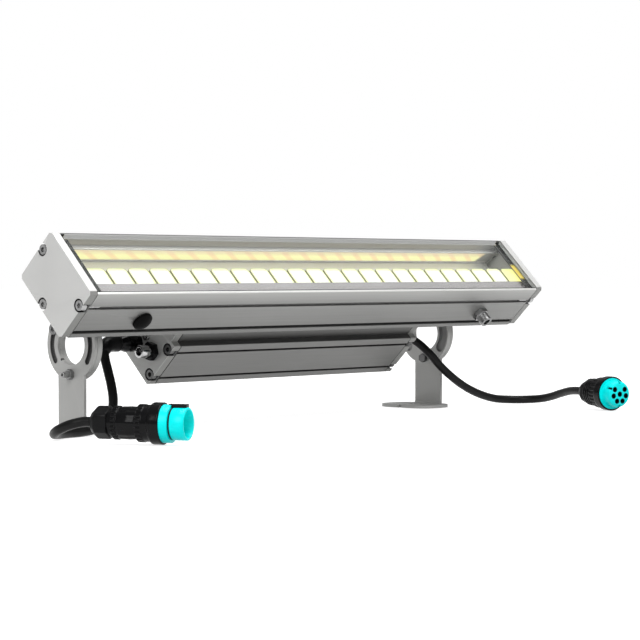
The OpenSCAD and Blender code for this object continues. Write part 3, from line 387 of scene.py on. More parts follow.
def machined(name, colour, grain=2600.0, zones=no_zones):
    """Bead-blasted metal: fine grain, slow clouds, and brighter rubbed edges.

    zones is a function that lists the places with a tone of their own: a value from 0 to 1,
    and the colour there.
    """
    finish = Finish(name)
    place = finish.place()
    grit = finish.noise(place, grain, 2.0)
    clouds = finish.noise(place, 22.0, 3.0)
    dull, rubbed = shades(colour, 0.93, 1.15)
    base = finish.blend(finish.span(clouds, 0.3, 0.7), dull, colour)
    base = finish.blend(finish.worn_edges(), base, rubbed)
    for zone, tone in zones(finish):
        base = finish.blend(zone, base, tone)
    finish.set(Base_Color=base, Metallic=0.35)
    finish.set(Roughness=finish.span(grit, 0.3, 0.7, 0.42, 0.58))
    finish.set(Normal=finish.relief(grit, 0.12, 0.0001))
    return finish.material


def plate_zones(face, ports, top):
    """Painted shade on an end plate's sides and in its counterbores, and a painted highlight on its
    upper edge.
    """
    def zones(finish):
        place = finish.on_bar()
        x, _, z = finish.parts(place)[0:3]
        # Painted shade on the faces behind the outer face and in the counterbores, a painted
        # highlight on top
        behind = finish.below(finish.reach(x), face - 0.55 * MM, 0.15 * MM)
        upper = finish.above(z, top - 0.35 * MM, 0.15 * MM)
        bores = finish.both(behind, finish.near(place, ports, COUNTERBORE_R))
        return [(behind, (0.28, 0.28, 0.27)), (upper, (0.60, 0.60, 0.59)),
                (bores, (0.03, 0.03, 0.03))]
    return zones


def bracket_zones(finish):
    """Painted shade in a bracket's arc slots, and a spot of painted shade for a notch on its ring.
    """
    place = finish.place()
    x = finish.reach(finish.parts(place)[0])
    # Painted shade on the arc slots' walls
    painted_slot_shade = finish.both(finish.between(x, *SLOT_WALLS),
                           finish.near(place, ((0, AXIS_H),), SLOT_RADII[1], SLOT_RADII[0]))
    # A spot of painted shade for a small notch on the ring's inner edge
    notch = finish.near(place, (NOTCH,), NOTCH_R)
    return [(painted_slot_shade, (0.10, 0.10, 0.10)), (notch, (0.02, 0.02, 0.02))]


def disc_zones(finish):
    """Shade on a swivel disc: deep behind the bracket's slots, lighter in the nut pockets."""
    place = finish.place()
    x = finish.reach(finish.parts(place)[0])
    ring = finish.near(place, ((0, AXIS_H),), DISC_RADII[1], DISC_RADII[0])
    outside = finish.both(ring, finish.above(x, DISC_FACE))
    pocket = finish.both(ring, finish.between(x, POCKET_FLOOR, DISC_FACE - 0.2 * MM))
    return [(outside, (0.12, 0.12, 0.12)), (pocket, (0.22, 0.22, 0.22))]


def chamber_zones(finish):
    """Painted shade behind the female plug's face and in its contact chambers: one in the middle
    and six round it.

    The coordinates are turned so that -X runs along the plug to its face. The six lie at sevenths
    of a turn from the top, and the seventh place, at the top, stays free.
    """
    origin, turn = RIGHT_PLUG
    place = finish.moved(finish.place(), origin, (0, 0, turn + math.pi / 2), kind="TEXTURE")
    # Painted shade: nearly black behind the face and in the contact chambers
    inside = finish.both(finish.near(place, ((0, 0),), FEMALE_SHADE_R),
                         finish.above(finish.parts(place)[0], -FEMALE_FACE, 0.15 * MM))
    turns = math.pi / 2 + np.arange(1, 7) * math.tau / 7
    poles = [(0, 0)] + [(POLE_R * math.cos(a), POLE_R * math.sin(a)) for a in turns]
    dark = finish.either(inside, finish.near(place, poles, CHAMBER_R))
    return [(dark, (0.004, 0.006, 0.007))]


def steel(name, colour, rough=0.28):
    """Turned or drawn steel: fine rings of tone, with smudges that dull it."""
    finish = Finish(name)
    place = finish.place()
    grain = finish.noise(finish.moved(place, scale=(1500, 400, 400)), 1.0, 2.0)
    smudge = finish.noise(place, 160.0, 3.0)
    base = finish.blend(finish.span(grain, 0.3, 0.7), *shades(colour, 0.8, 1))
    finish.set(Base_Color=base, Metallic=1.0)
    finish.set(Roughness=finish.span(smudge, 0.3, 0.7, rough * 0.7, rough * 1.4))
    finish.set(Normal=finish.relief(grain, 0.08, 0.0001))
    return finish.material


# Finishes of plastics, rubber and glass


def moulded(name, colour, rough, dull, wave=0.25, gloss=0.5, glow=0.0, zones=no_zones):
    """Moulded plastic: slight flow waves, fine pores and patches that are less glossy.

    rough and dull are the roughness of glossy and of dull patches, wave is how strong the flow
    waves are, and gloss is the strength of reflections. glow is the strength of a painted glow that
    brightens the plastic evenly, and zones is as for machined.
    """
    finish = Finish(name)
    place = finish.place()
    flow = finish.noise(place, 90.0, 2.0)
    pores = finish.noise(place, 1800.0, 2.0)
    patches = finish.noise(place, 45.0, 3.0)
    base = finish.blend(finish.span(patches, 0.35, 0.65), *shades(colour, 0.85, 1))
    for zone, tone in zones(finish):
        base = finish.blend(zone, base, tone)
    finish.set(Base_Color=base, Specular_IOR_Level=gloss)
    # A painted glow: the plastic shines evenly though it is no lamp
    if glow:
        finish.set(Emission_Color=base, Emission_Strength=glow)
    finish.set(Roughness=finish.span(patches, 0.35, 0.65, rough, dull))
    under = finish.relief(flow, wave, 0.0006)
    finish.set(Normal=finish.relief(pores, 0.06, 0.0001, under))
    return finish.material


def sheath(name, colour):
    """Cable sheath: satin rubber, drawn lengthwise along the cable's own UV map."""
    finish = Finish(name)
    along = finish.node("ShaderNodeUVMap", uv_map="run").outputs[0]
    drawn = finish.noise(finish.moved(along, scale=(30, 14, 1)), 2.0, 3.0)
    dust = finish.noise(finish.place(), 120.0, 4.0, 0.6)
    base = finish.blend(finish.span(dust, 0.55, 0.8), *shades(colour, 1, 2.2))
    finish.set(Base_Color=base, Specular_IOR_Level=0.15)
    finish.set(Roughness=finish.span(drawn, 0.3, 0.7, 0.28, 0.42))
    finish.set(Normal=finish.relief(drawn, 0.2, 0.0003))
    return finish.material


def clear_glass(name):
    """Toughened float glass with an anti-reflective coating, which a low index stands for.

    It is clear and faintly green, has dust, and lamps shine through it.
    """
    finish = Finish(name)
    dust = finish.noise(finish.place(), 60.0, 4.0, 0.6)
    finish.set(Base_Color=finish.blend(dust, (0.97, 0.985, 0.975), (0.99, 1.0, 0.995)))
    finish.set(Roughness=0.0, IOR=1.16, Transmission_Weight=1.0)
    clear = finish.node("ShaderNodeBsdfTransparent")
    clear.inputs[0].default_value = (0.95, 0.97, 0.96, 1)
    mixed = finish.node("ShaderNodeMixShader")
    shadow = finish.node("ShaderNodeLightPath").outputs["Is Shadow Ray"]
    for socket, source in zip(mixed.inputs, (shadow, finish.shader.outputs[0], clear.outputs[0])):
        finish.feed(socket, source)
    finish.feed(finish.out.inputs[0], mixed.outputs[0])
    return finish.material


def lit_lenses(name):
    """Lit lens cells: white in the middle, yellow-green towards the edges, and dim walls.

    The cell's own UV map runs from -1 to 1 along and across it. The last cell is yellower.
    """
    finish = Finish(name)
    across = finish.parts(finish.node("ShaderNodeUVMap", uv_map="cell").outputs[0])
    side = finish.reach(across[0])
    back = finish.span(across[1], 0.30, 1.0, smooth=True)
    haze = finish.noise(finish.place(), 500.0, 2.0)
    rim = finish.either(finish.span(side, 0.66, 0.93, 0.0, 0.9, smooth=True), back)
    rim = finish.math("MULTIPLY", rim, finish.span(haze, 0.3, 0.6, 0.6, 1.0))
    x = finish.parts(finish.place())[0]
    last = finish.above(x, ROW_START + (LENSES - 1) * PITCH, 0.3 * MM)
    middle = finish.blend(last, (1.0, 1.0, 0.93), (0.98, 0.94, 0.30))
    glow = finish.blend(rim, middle, (0.80, 0.86, 0.28))
    wall = finish.either(finish.span(side, 0.925, 0.965),
                         finish.span(across[1], 0.975, 0.995))
    glow = finish.blend(wall, glow, (0.42, 0.42, 0.12))
    finish.set(Base_Color=finish.blend(wall, (0.08, 0.08, 0.07), (0.05, 0.05, 0.03)))
    finish.set(Emission_Color=glow, Emission_Strength=finish.span(wall, 0.0, 1.0, 0.98, 0.30))
    finish.set(Roughness=0.35)
    finish.set(Normal=finish.relief(haze, 0.05, 0.0002))
    return finish.material


def painted_reflection_strip(name):
    """Reflector strip with a painted reflection: the row's blurred warm image, one patch for each
    lens.

    Patches are a cosine of X and height that repeats with the lens pitch, so that they lean. The
    image ends before the right end, where the strip is plain metal, and painted light makes its
    foot brighter.
    """
    finish = Finish(name)
    x, _, z = finish.parts(finish.on_bar())[0:3]
    level = finish.math("SUBTRACT", z, BAR_OFF)
    lean = finish.math("MULTIPLY_ADD", level, IMAGE_LEAN, x)
    phase = finish.math("MULTIPLY", finish.math("SUBTRACT", lean, ROW_START), math.tau / PITCH)
    wave = finish.span(finish.math("COSINE", phase), -1.0, 0.1, 0.0, 1.0, smooth=True)
    low = finish.span(level, *IMAGE_FOOT, smooth=True)
    high = finish.span(level, *IMAGE_TOP, 1.0, 0.0, smooth=True)
    painted_reflection_band = finish.both(finish.both(low, high), finish.below(x, IMAGE_END, 2.5 * MM))
    streak = finish.noise(finish.moved(finish.place(), scale=(40, 200, 200)), 1.5, 3.0)
    # Colours of the painted reflection, browner towards its top
    warm = finish.blend(wave, (0.96, 0.76, 0.38), (1.0, 0.97, 0.46))
    warm = finish.blend(finish.span(level, *IMAGE_BROWN, 0.0, 0.75), warm, (0.74, 0.58, 0.42))
    metal = finish.blend(streak, (0.36, 0.36, 0.35), (0.42, 0.42, 0.41))
    # Painted light: the strip's foot below the reflection is brighter
    metal = finish.blend(finish.below(level, STRIP_FOOT, 1.5 * MM), metal, (0.84, 0.82, 0.83))
    finish.set(Base_Color=finish.blend(painted_reflection_band, metal, (0.08, 0.08, 0.07)), Metallic=0.3)
    finish.set(Roughness=finish.span(streak, 0.3, 0.7, 0.30, 0.42))
    finish.set(Emission_Color=warm, Emission_Strength=finish.math("MULTIPLY", painted_reflection_band, 0.92))
    return finish.material


def seal_rubber(name):
    """Black seal, grey along the rear with a painted glow; its right end shows a painted golden
    reflection of the last lens.
    """
    finish = Finish(name)
    x, y = finish.parts(finish.on_bar())[0:2]
    speck = finish.noise(finish.place(), 900.0, 2.0)
    image = finish.both(finish.between(x, *GOLD_X, 0.6 * MM),
                        finish.between(y, *GOLD_Y, 1.5 * MM))
    base = finish.blend(speck, (0.010, 0.010, 0.010), (0.022, 0.022, 0.021))
    # Painted light: a grey glow along the rear
    rear = finish.both(finish.above(y, SEAL_REAR, 0.25 * MM),
                       finish.below(finish.reach(x), SEAL_EDGE, 0.2 * MM))
    finish.set(Base_Color=finish.blend(rear, base, (0.12, 0.12, 0.12)), Specular_IOR_Level=0.2)
    finish.set(Roughness=finish.span(speck, 0.3, 0.7, 0.45, 0.65))
    # Painted reflection: a golden image of the last lens at the right end
    gold = finish.blend(speck, (0.80, 0.58, 0.07), (0.90, 0.74, 0.12))
    finish.set(Emission_Color=finish.blend(rear, gold, (0.32, 0.32, 0.315)))
    finish.set(Emission_Strength=finish.either(rear, image))
    finish.set(Normal=finish.relief(speck, 0.1, 0.0001))
    return finish.material


# Meshes


def new_piece(name, material, body, slot, *nodes):
    """An empty mesh piece that rides on a body, has a finish and stands for CAD nodes."""
    mesh = bpy.data.meshes.new(name)
    piece = bpy.data.objects.new(name, mesh)
    bpy.context.scene.collection.objects.link(piece)
    mesh.materials.append(material)
    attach(piece, body)
    if nodes:
        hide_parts(*nodes)
    return piece


def grid_faces(rows, columns, closed):
    """Quads between neighbouring rows of a grid; closed joins the last column to the first."""
    row, column = np.meshgrid(np.arange(rows - 1), np.arange(columns if closed else columns - 1),
                              indexing="ij")
    a = row * columns + column
    b = row * columns + (column + 1) % columns
    return np.stack([a, b, b + columns, a + columns], axis=-1).reshape(-1, 4)


def fill(piece, points, faces, smooth=True):
    """Puts points and faces into a piece's mesh."""
    piece.data.from_pydata(points.reshape(-1, 3).tolist(), [], [list(map(int, f)) for f in faces])
    piece.data.update()
    if smooth:
        piece.data.shade_smooth()
    return piece


def lay_uv(piece, name, uv):
    """Gives a piece a UV map of that name, from a value for each of its points."""
    corners = np.empty(len(piece.data.loops), np.int32)
    piece.data.loops.foreach_get("vertex_index", corners)
    layer = piece.data.uv_layers.new(name=name)
    layer.data.foreach_set("uv", uv[corners].astype(np.float32).ravel())


def turned_piece(node, material, body, place, profile, sides, radius_at):
    """A turned body with a changing outline, in place of a CAD node.

    A profile row gives a radius and a distance along the axis. The point at angle a lies at
    radius_at(radius, distance, a) from the axis. A profile that ends where it starts is a ring
    round a bore; any other closes flat at its first and last rows.
    """
    origin, x_axis, y_axis, z_axis = place
    ring = np.allclose(profile[0], profile[-1])
    rows = np.asarray(profile[:-1] if ring else profile, float)
    angles = np.arange(sides) * 2 * np.pi / sides
    radius = radius_at(rows[:, :1], rows[:, 1:], angles[None, :])
    circle = np.cos(angles)[None, :, None] * x_axis + np.sin(angles)[None, :, None] * y_axis
    points = origin + radius[..., None] * circle + rows[:, 1][:, None, None] * z_axis
    faces = grid_faces(len(rows), sides, True).tolist()
    first = np.arange(sides)
    last = first + (len(rows) - 1) * sides
    if ring:
        faces += np.stack([last, np.roll(last, -1), np.roll(first, -1), first], axis=1).tolist()
    else:
        faces += [first[::-1].tolist(), last.tolist()]
    return fill(new_piece("fine_" + node, material, body, slots[node], node), points, faces)


def crisp(piece, angle=EDGE_ANGLE):
    """Smooth shading that breaks at edges over an angle."""
    piece.data.shade_smooth()
    piece.data.set_sharp_from_angle(angle=angle)
    return piece


def eased(node, material, width):
    """A copy of a CAD node with eased edges: doubles merged, flat faces joined, then a bevel."""
    source = frame["nodes"][node]
    mesh = source.data.copy()
    piece = bpy.data.objects.new("fine_" + node, mesh)
    bpy.context.scene.collection.objects.link(piece)
    work = bmesh.new()
    work.from_mesh(mesh)
    bmesh.ops.remove_doubles(work, verts=work.verts, dist=2e-6)
    bmesh.ops.dissolve_limit(work, angle_limit=math.radians(0.4), verts=work.verts,
                             edges=work.edges)
    work.to_mesh(mesh)
    work.free()
    mesh.materials.clear()
    mesh.materials.append(material)
    crisp(piece)
    bevel = piece.modifiers.new("eased edges", "BEVEL")
    bevel.width = width
    bevel.segments = 2
    bevel.limit_method = "ANGLE"
    bevel.angle_limit = EDGE_ANGLE
    bevel.use_clamp_overlap = True
    bevel.harden_normals = True
    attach(piece, source["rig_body"])
    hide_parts(node)
    return piece


# Cords: routes in millimetres, in the part's frame, from the gland to the plug

LEFT_ROUTE = [(-195, -0.5, 73), (-202.5, -3, 69.5), (-206.5, -7.5, 61.5), (-209, -14, 51),
              (-212.5, -22, 39.5), (-217.5, -30, 28), (-226.5, -38.5, 17.5), (-239, -45, 9.5),
              (-254, -48, 5.5), (-270, -50, 4.2), (-287, -52, 4.2), (-302, -57, 4.5),
              (-313, -66, 6), (-318.5, -78, 10), (-317, -90, 14.5)]
RIGHT_ROUTE = [(193, -0.5, 73), (200, -4, 70), (206, -9, 65.5), (210, -14, 60.5), (215, -21, 52),
               (223, -26, 41.5), (236, -29, 31), (252, -30, 22), (268, -31, 15), (285, -32, 9.5),
               (303, -34, 5.5), (319, -40, 4.2), (330, -52, 4.2), (334, -68, 5.5),
               (331, -84, 8.5), (325, -100, 12.5), (317, -118, 16)]
# To each side of the middle, where a cord leaves its gland
CORD_START = 185.3 * MM
CORD_R = 4 * MM
# Points of a cord for each knot of its route, and the points that lie in its boot
KNOT_STEPS = 8
BOOT_POINTS = 21
BOOT_R = 6.9 * MM
BOOT_WALL = 0.3 * MM
# Plugs: where the cable enters, and how far the plug is turned from facing the front
LEFT_PLUG = (np.array([-308, -107, 17]) * MM, math.radians(25.3))
RIGHT_PLUG = (np.array([306, -143, 17]) * MM, math.radians(-19.7))


def plug_place(origin, turn):
    """A plug's frame: where its cable enters, then its right, its top and its mouth's direction."""
    right = np.array([math.cos(turn), math.sin(turn), 0])
    mouth = np.array([math.sin(turn), -math.cos(turn), 0])
    return origin, right, np.array([0, 0, 1.0]), mouth


def cord_path(side, route, plug):
    """Points on a Catmull-Rom curve through the route, from the gland to the plug.

    Between knots b and c, with a before and d after them, the point at t from 0 to 1 is
    (2b + (c - a) t + (2a - 5b + 4c - d) t^2 + (3b - a - 3c + d) t^3) / 2.
    """
    origin, turn = plug
    mouth = plug_place(origin, turn)[3]
    start = np.array([side * CORD_START, 0, AXIS_H])
    knots = np.vstack([start, np.array(route) * MM, origin - 2 * CORD_R * mouth, origin])
    before = np.vstack([2 * knots[0] - knots[1], knots[:-1]])
    after = np.vstack([knots[1:], 2 * knots[-1] - knots[-2]])
    later = np.vstack([after[1:], 2 * after[-1] - after[-2]])
    t = (np.arange(KNOT_STEPS) / KNOT_STEPS)[:, None, None]
    a, b, c, d = before[:-1], knots[:-1], after[:-1], later[:-1]
    curve = 0.5 * (2 * b + (c - a) * t + (2 * a - 5 * b + 4 * c - d) * t ** 2
                   + (3 * b - a - 3 * c + d) * t ** 3)
    return np.vstack([curve.transpose(1, 0, 2).reshape(-1, 3), knots[-1:]])


def cord_tube(piece, path, radius):
    """A round tube along a path: each ring is the last one carried on and squared to the path.

    The radius is one number, or one for each point of the path. The result is the tube's length.
    """
    sides = 28
    ahead = np.gradient(path, axis=0)
    ahead /= np.linalg.norm(ahead, axis=1)[:, None]
    side = np.cross(ahead[0], (0, 0, 1.0))
    sides_along = []
    for heading in ahead:
        side = side - heading * (side @ heading)
        side = side / np.linalg.norm(side)
        sides_along.append(side)
    across = np.array(sides_along)
    up = np.cross(ahead, across)
    angles = np.arange(sides) * 2 * np.pi / sides
    reach = np.broadcast_to(radius, len(path))[:, None, None]
    points = path[:, None] + reach * (np.cos(angles)[None, :, None] * across[:, None]
                                      + np.sin(angles)[None, :, None] * up[:, None])
    count = len(path)
    faces = grid_faces(count, sides, True)[:, ::-1].tolist()
    faces.append(list(range(sides)))
    faces.append(list(range((count - 1) * sides, count * sides))[::-1])
    fill(piece, points, faces)
    run = np.concatenate([[0], np.cumsum(np.linalg.norm(np.diff(path, axis=0), axis=1))])
    lay_uv(piece, "run", np.stack([np.repeat(run, sides) * 40,
                                   np.tile(np.arange(sides) / sides, count)], axis=1))
    return float(run[-1])


def boot_radius():
    """Radius of a rubber boot at each of its points.

    At a share s of its length it is CORD_R + BOOT_WALL + (BOOT_R - CORD_R) * (1 - s^3)^0.6.
    """
    share = np.linspace(0, 1, BOOT_POINTS)
    return CORD_R + (BOOT_R - CORD_R) * (1 - share ** 3) ** 0.6 + BOOT_WALL


# Lens row and rubber lips


def from_bar(points):
    """Points of the bar's own frame, which starts on its back face, in the part's frame.

    Y and Z, raised by BAR_OFF, are turned by FRONT_UP round the tilt axis.
    """
    c, s = math.cos(FRONT_UP), math.sin(FRONT_UP)
    x, y, z = points[:, 0], points[:, 1], points[:, 2] + BAR_OFF
    return np.stack([x, y * c - z * s, y * s + z * c + AXIS_H], axis=1)


def bar_lenses(material):
    """The lens row: cells with round back corners and a low dome, on one strip.

    A cell's half length at a place v across it is a, and behind its straight part
    a - r + sqrt(r^2 - (v - b + r)^2); its top rises as dome * (1 - u^2) * (1 - (v / b)^2).
    """
    piece = new_piece("fine_lens_row", material, "fixture", "lit_lens", "lens_row")
    a, b, r, dome = 11.3 * MM, 8.75 * MM, 4.5 * MM, 0.9 * MM
    low, top = 37.5 * MM, 44.1 * MM
    u = np.linspace(-1, 1, 25)[None, :]
    v = np.sin(np.linspace(-np.pi / 2, np.pi / 2, 25))[:, None] * b
    bend = np.clip(v - (b - r), 0, r)
    half = a - r + np.sqrt(np.maximum(r ** 2 - bend ** 2, 0))
    x = u * half
    y = v + 0 * u
    rise = top + dome * (1 - u ** 2) * (1 - (v / b) ** 2)
    upper = np.stack([x, y, rise], axis=-1)
    lower = np.stack([x, y, low + 0 * rise], axis=-1)
    rows, columns = x.shape
    count = rows * columns
    flat = grid_faces(rows, columns, False)
    grid = np.arange(count).reshape(rows, columns)
    edge = np.concatenate([grid[0, :-1], grid[:-1, -1], grid[-1, :0:-1], grid[:0:-1, 0]])
    nxt = np.roll(edge, -1)
    walls = np.stack([edge + count, nxt + count, nxt, edge], axis=1)
    faces = np.concatenate([flat, flat[:, ::-1] + count, walls])
    cell = np.concatenate([upper.reshape(-1, 3), lower.reshape(-1, 3)])
    uv = np.stack([np.broadcast_to(u, x.shape).ravel(), (v / b + 0 * u).ravel()], axis=1)
    uv = np.concatenate([uv, uv])
    centres = ROW_SHIFT + (np.arange(LENSES) - (LENSES - 1) / 2) * PITCH
    shift = np.stack([centres, np.full(LENSES, -ROW_FRONT), np.zeros(LENSES)], axis=1)
    points = cell[None] + shift[:, None]
    every = (faces[None] + 2 * count * np.arange(LENSES)[:, None, None]).reshape(-1, 4)
    fill(piece, from_bar(points.reshape(-1, 3)), every)
    lay_uv(piece, "cell", np.tile(uv, (LENSES, 1)))
    return crisp(piece, SOFT_SHAPE_ANGLE)


def seal_lips(material):
    """Rubber lips inside the glass: a flat box at the right end, and its mirror image."""
    piece = new_piece("fine_seal_lips", material, "fixture", "black_rubber")
    corners = np.array([(x, y, z) for x in (LIP_END - LIP_REACH, LIP_END)
                        for y in (-LIP_HALF, LIP_HALF) for z in LIP_LEVELS])
    walls = np.array([(0, 1, 3, 2), (4, 6, 7, 5), (0, 4, 5, 1),
                      (2, 3, 7, 6), (0, 2, 6, 4), (1, 5, 7, 3)])
    points = np.concatenate([corners, corners * (-1, 1, 1)])
    faces = np.concatenate([walls, len(corners) + walls[:, ::-1]])
    fill(piece, from_bar(points), faces, smooth=False)


# Outlines of the plugs' turned pieces

# Width over the clamping nuts' flats; the ribs' count round a sleeve, and their height
NUT_KEY = 23.6 * MM
RIBS = 24
RIB_HEIGHT = 0.8 * MM


def in_mm(rows):
    """A profile given in millimetres."""
    return [(radius * MM, distance * MM) for radius, distance in rows]


def ribbed(radius, angle):
    """Radius of a sleeve with soft ribs at angle a.

    With w = (1 + cos(RIBS * a)) / 2 it lies RIB_HEIGHT * (1 - 2w) deeper where w is under a half.
    """
    wave = 0.5 + 0.5 * np.cos(RIBS * angle)
    return radius - RIB_HEIGHT * (1 - np.clip(2 * wave, 0, 1))


def soft_profile(corners, ease):
    """A profile with its corners rounded: each corner becomes three points of a small curve.

    The first and last lie ease away from the corner, or just under half a side where that is less,
    and the middle one at (first + 2 corner + last) / 4.
    """
    rows = [corners[0]]
    for before, corner, after in zip(corners[:-2], corners[1:-1], corners[2:]):
        p, q, s = (np.array(k, float) for k in (before, corner, after))
        back = min(ease, np.linalg.norm(p - q) / 2.2)
        ahead = min(ease, np.linalg.norm(s - q) / 2.2)
        first = q + (p - q) / max(np.linalg.norm(p - q), 1e-9) * back
        last = q + (s - q) / max(np.linalg.norm(s - q), 1e-9) * ahead
        rows += [tuple(first), tuple((first + 2 * q + last) / 4), tuple(last)]
    return rows + [corners[-1]]


def plain(radius, distance, angle):
    """A round of that radius all the way round."""
    return radius + 0 * angle


def clamp_nut_shape(length, taper):
    """The clamping nut's profile: a small round back, a taper, and six flats up to its front."""
    return soft_profile([(0.1 * MM, 0), (8 * MM, 0), (13.1 * MM, taper), (13.1 * MM, length),
                         (0.1 * MM, length)], 0.8 * MM)


def nut_radius(radius, distance, angle):
    """Six flats, with the corners rounded by the profile.

    At an angle a from the middle of a flat the hexagon's radius is NUT_KEY / (2 cos a).
    """
    sector = np.mod(angle + np.pi / 6, np.pi / 3) - np.pi / 6
    return np.minimum(radius, NUT_KEY / 2 / np.cos(sector))


def male_shell_radius(radius, distance, angle):
    """Ribs on the collar behind the body, and ten soft flats on the body itself.

    A flat lies 0.35 mm * ((1 - cos(10 a)) / 2)^2 deeper at angle a.
    """
    collar = (distance > 19 * MM) & (distance < 23 * MM)
    body = (distance >= 23 * MM) & (distance < 39 * MM)
    flats = radius - 0.35 * MM * (0.5 - 0.5 * np.cos(10 * angle)) ** 2
    return np.where(collar, ribbed(radius, angle), np.where(body, flats, radius))


def ring_radius(grip_from, grip_to):
    """Outline of a coupling ring that has ribs between two distances."""
    def outline(radius, distance, angle):
        grip = (distance > grip_from) & (distance < grip_to) & (radius > 14 * MM)
        return np.where(grip, ribbed(radius, angle), radius)
    return outline


def ring_profile(start, length, grip):
    """A coupling ring's closed section: outside with its grip and lip, and back along the bore."""
    lip = 6 * MM
    wall_r, back_r, out_r, core_r, seat_r = (k * MM for k in (14.2, 15, 16.6, 12.4, 15.15))
    flare = start + length - lip - 2.6 * MM
    mouth = start + length
    outside = [(core_r, start), (wall_r, start), (back_r, start + 0.4 * MM)]
    outside += [(back_r, start + grip - 0.4 * MM), (back_r - 0.5 * MM, start + grip)]
    outside += [(back_r - 0.4 * MM, flare - 1.5 * MM), (out_r - 0.2 * MM, flare)]
    outside += [(out_r, flare + 1 * MM), (out_r, mouth - 0.5 * MM), (out_r - 0.5 * MM, mouth)]
    outside += [(seat_r, mouth)]
    return outside + [(seat_r, mouth - lip), (core_r, mouth - lip), (core_r, start)]


def dense(profile):
    """The same profile with points no further apart than a step, so that ribs have rows."""
    step = 0.5 * MM
    rows = [profile[0]]
    for p, q in zip(profile[:-1], profile[1:]):
        p, q = np.array(p), np.array(q)
        count = max(1, math.ceil(math.dist(p, q) / step))
        rows += [tuple(p + (q - p) * k / count) for k in range(1, count + 1)]
    return rows


set_camera()

slots = {sub["node"]: sub["material_slot"] for sub in frame["record"]["subparts"]}

body_metal = extruded("anodised body", (0.36, 0.36, 0.35))
bar_plate_metal = machined("machined plate", (0.58, 0.58, 0.57),
                           zones=plate_zones(BAR_END, BAR_PORTS, BAR_OFF + PLATE_TOP))
box_plate_metal = machined("driver plate", (0.46, 0.46, 0.45),
                           zones=plate_zones(BOX_END, BOX_PORTS, ABOVE_ALL))
bracket_metal = machined("bracket sheet", (0.42, 0.42, 0.41), 1800.0, bracket_zones)
disc_metal = machined("swivel disc", (0.42, 0.42, 0.41), 1800.0, disc_zones)
rail_metal = machined("grey rail", (0.17, 0.16, 0.163), 1200.0)
screw_steel = steel("screw steel", (0.40, 0.40, 0.40))
dark_steel = steel("dark steel", (0.13, 0.13, 0.13), 0.35)
chrome = steel("chrome", (0.50, 0.50, 0.50), 0.10)
valve_steel = steel("valve steel", (0.30, 0.30, 0.30), 0.30)
nut_steel = steel("nut steel", (0.26, 0.26, 0.26), 0.35)
black_gloss = moulded("black plastic", (0.004, 0.004, 0.0045), 0.09, 0.22, 0.6, 0.12)
black_matt = moulded("black nut", (0.007, 0.007, 0.0075), 0.28, 0.42, 0.25, 0.10)
vent_rubber = moulded("vent rubber", (0.004, 0.004, 0.004), 0.45, 0.6, 0.2, 0.05)
# Aqua plastics with a faint painted glow
aqua = moulded("aqua plastic", (0.0, 0.84, 0.84), 0.25, 0.38, gloss=0.15, glow=0.14)
aqua_face = moulded("aqua face", (0.0, 0.76, 0.76), 0.25, 0.38, gloss=0.15, glow=0.12,
                    zones=chamber_zones)
cable = sheath("cable sheath", (0.005, 0.005, 0.005))
glass = clear_glass("front glass")
lenses = lit_lenses("lit lenses")
strip = painted_reflection_strip("painted reflection strip")
seal = seal_rubber("seal rubber")
gasket = moulded("gasket rubber", (0.015, 0.015, 0.015), 0.5, 0.7, gloss=0.2)
grey_gasket = moulded("silicone gasket", (0.30, 0.30, 0.29), 0.5, 0.7, gloss=0.2)
board = moulded("solder mask", (0.82, 0.82, 0.80), 0.35, 0.5)
gold = steel("plated contact", (0.80, 0.58, 0.22), 0.2)
driver = machined("driver case", (0.30, 0.32, 0.34))
chip = moulded("phosphor", (0.95, 0.75, 0.2), 0.4, 0.5)

# Plugs and cords, first because the view of them has to be right

left_place = plug_place(*LEFT_PLUG)
right_place = plug_place(*RIGHT_PLUG)

male_shell_profile = in_mm([
    (0.1, 14.5), (10.9, 14.5), (10.9, 19), (13.4, 19.2), (13.4, 22.8), (12.6, 23.3),
    (13.0, 25), (13.2, 32), (12.9, 39.2), (12.2, 39.3), (12.2, 53.9), (0.1, 53.9)])
male_nut = turned_piece("male_clamp_nut", black_matt, "stand", left_place,
                        clamp_nut_shape(15 * MM, 5 * MM), 96, nut_radius)
male_shell = turned_piece("male_shell", black_gloss, "stand", left_place,
                          dense(male_shell_profile), 240, male_shell_radius)
male_ring = turned_piece("male_coupling_ring", black_gloss, "male_ring", left_place,
                         dense(ring_profile(39.5 * MM, 20.6 * MM, 5.5 * MM)), 240,
                         ring_radius(39.9 * MM, 44.6 * MM))

female_shell_profile = [(0.1, 13.5), (12.4, 13.5)]
for rib in range(4):
    foot = 14.8 + 3 * rib
    female_shell_profile += [(12.4, foot), (13.4, foot + 0.3)]
    female_shell_profile += [(13.4, foot + 1.2), (12.4, foot + 1.5)]
female_shell_profile += [(12.4, 26.8), (12.2, 26.8), (12.2, 39.4), (0.1, 39.4)]
female_nut = turned_piece("female_clamp_nut", black_matt, "stand", right_place,
                          clamp_nut_shape(14 * MM, 9 * MM), 96, nut_radius)
female_shell = turned_piece("female_shell", black_gloss, "stand", right_place,
                            dense(in_mm(female_shell_profile)), 120, plain)
female_ring = turned_piece("female_coupling_ring", black_gloss, "female_ring", right_place,
                           dense(ring_profile(27 * MM, 18.5 * MM, 9.9 * MM)), 240,
                           ring_radius(27.4 * MM, 36.5 * MM))

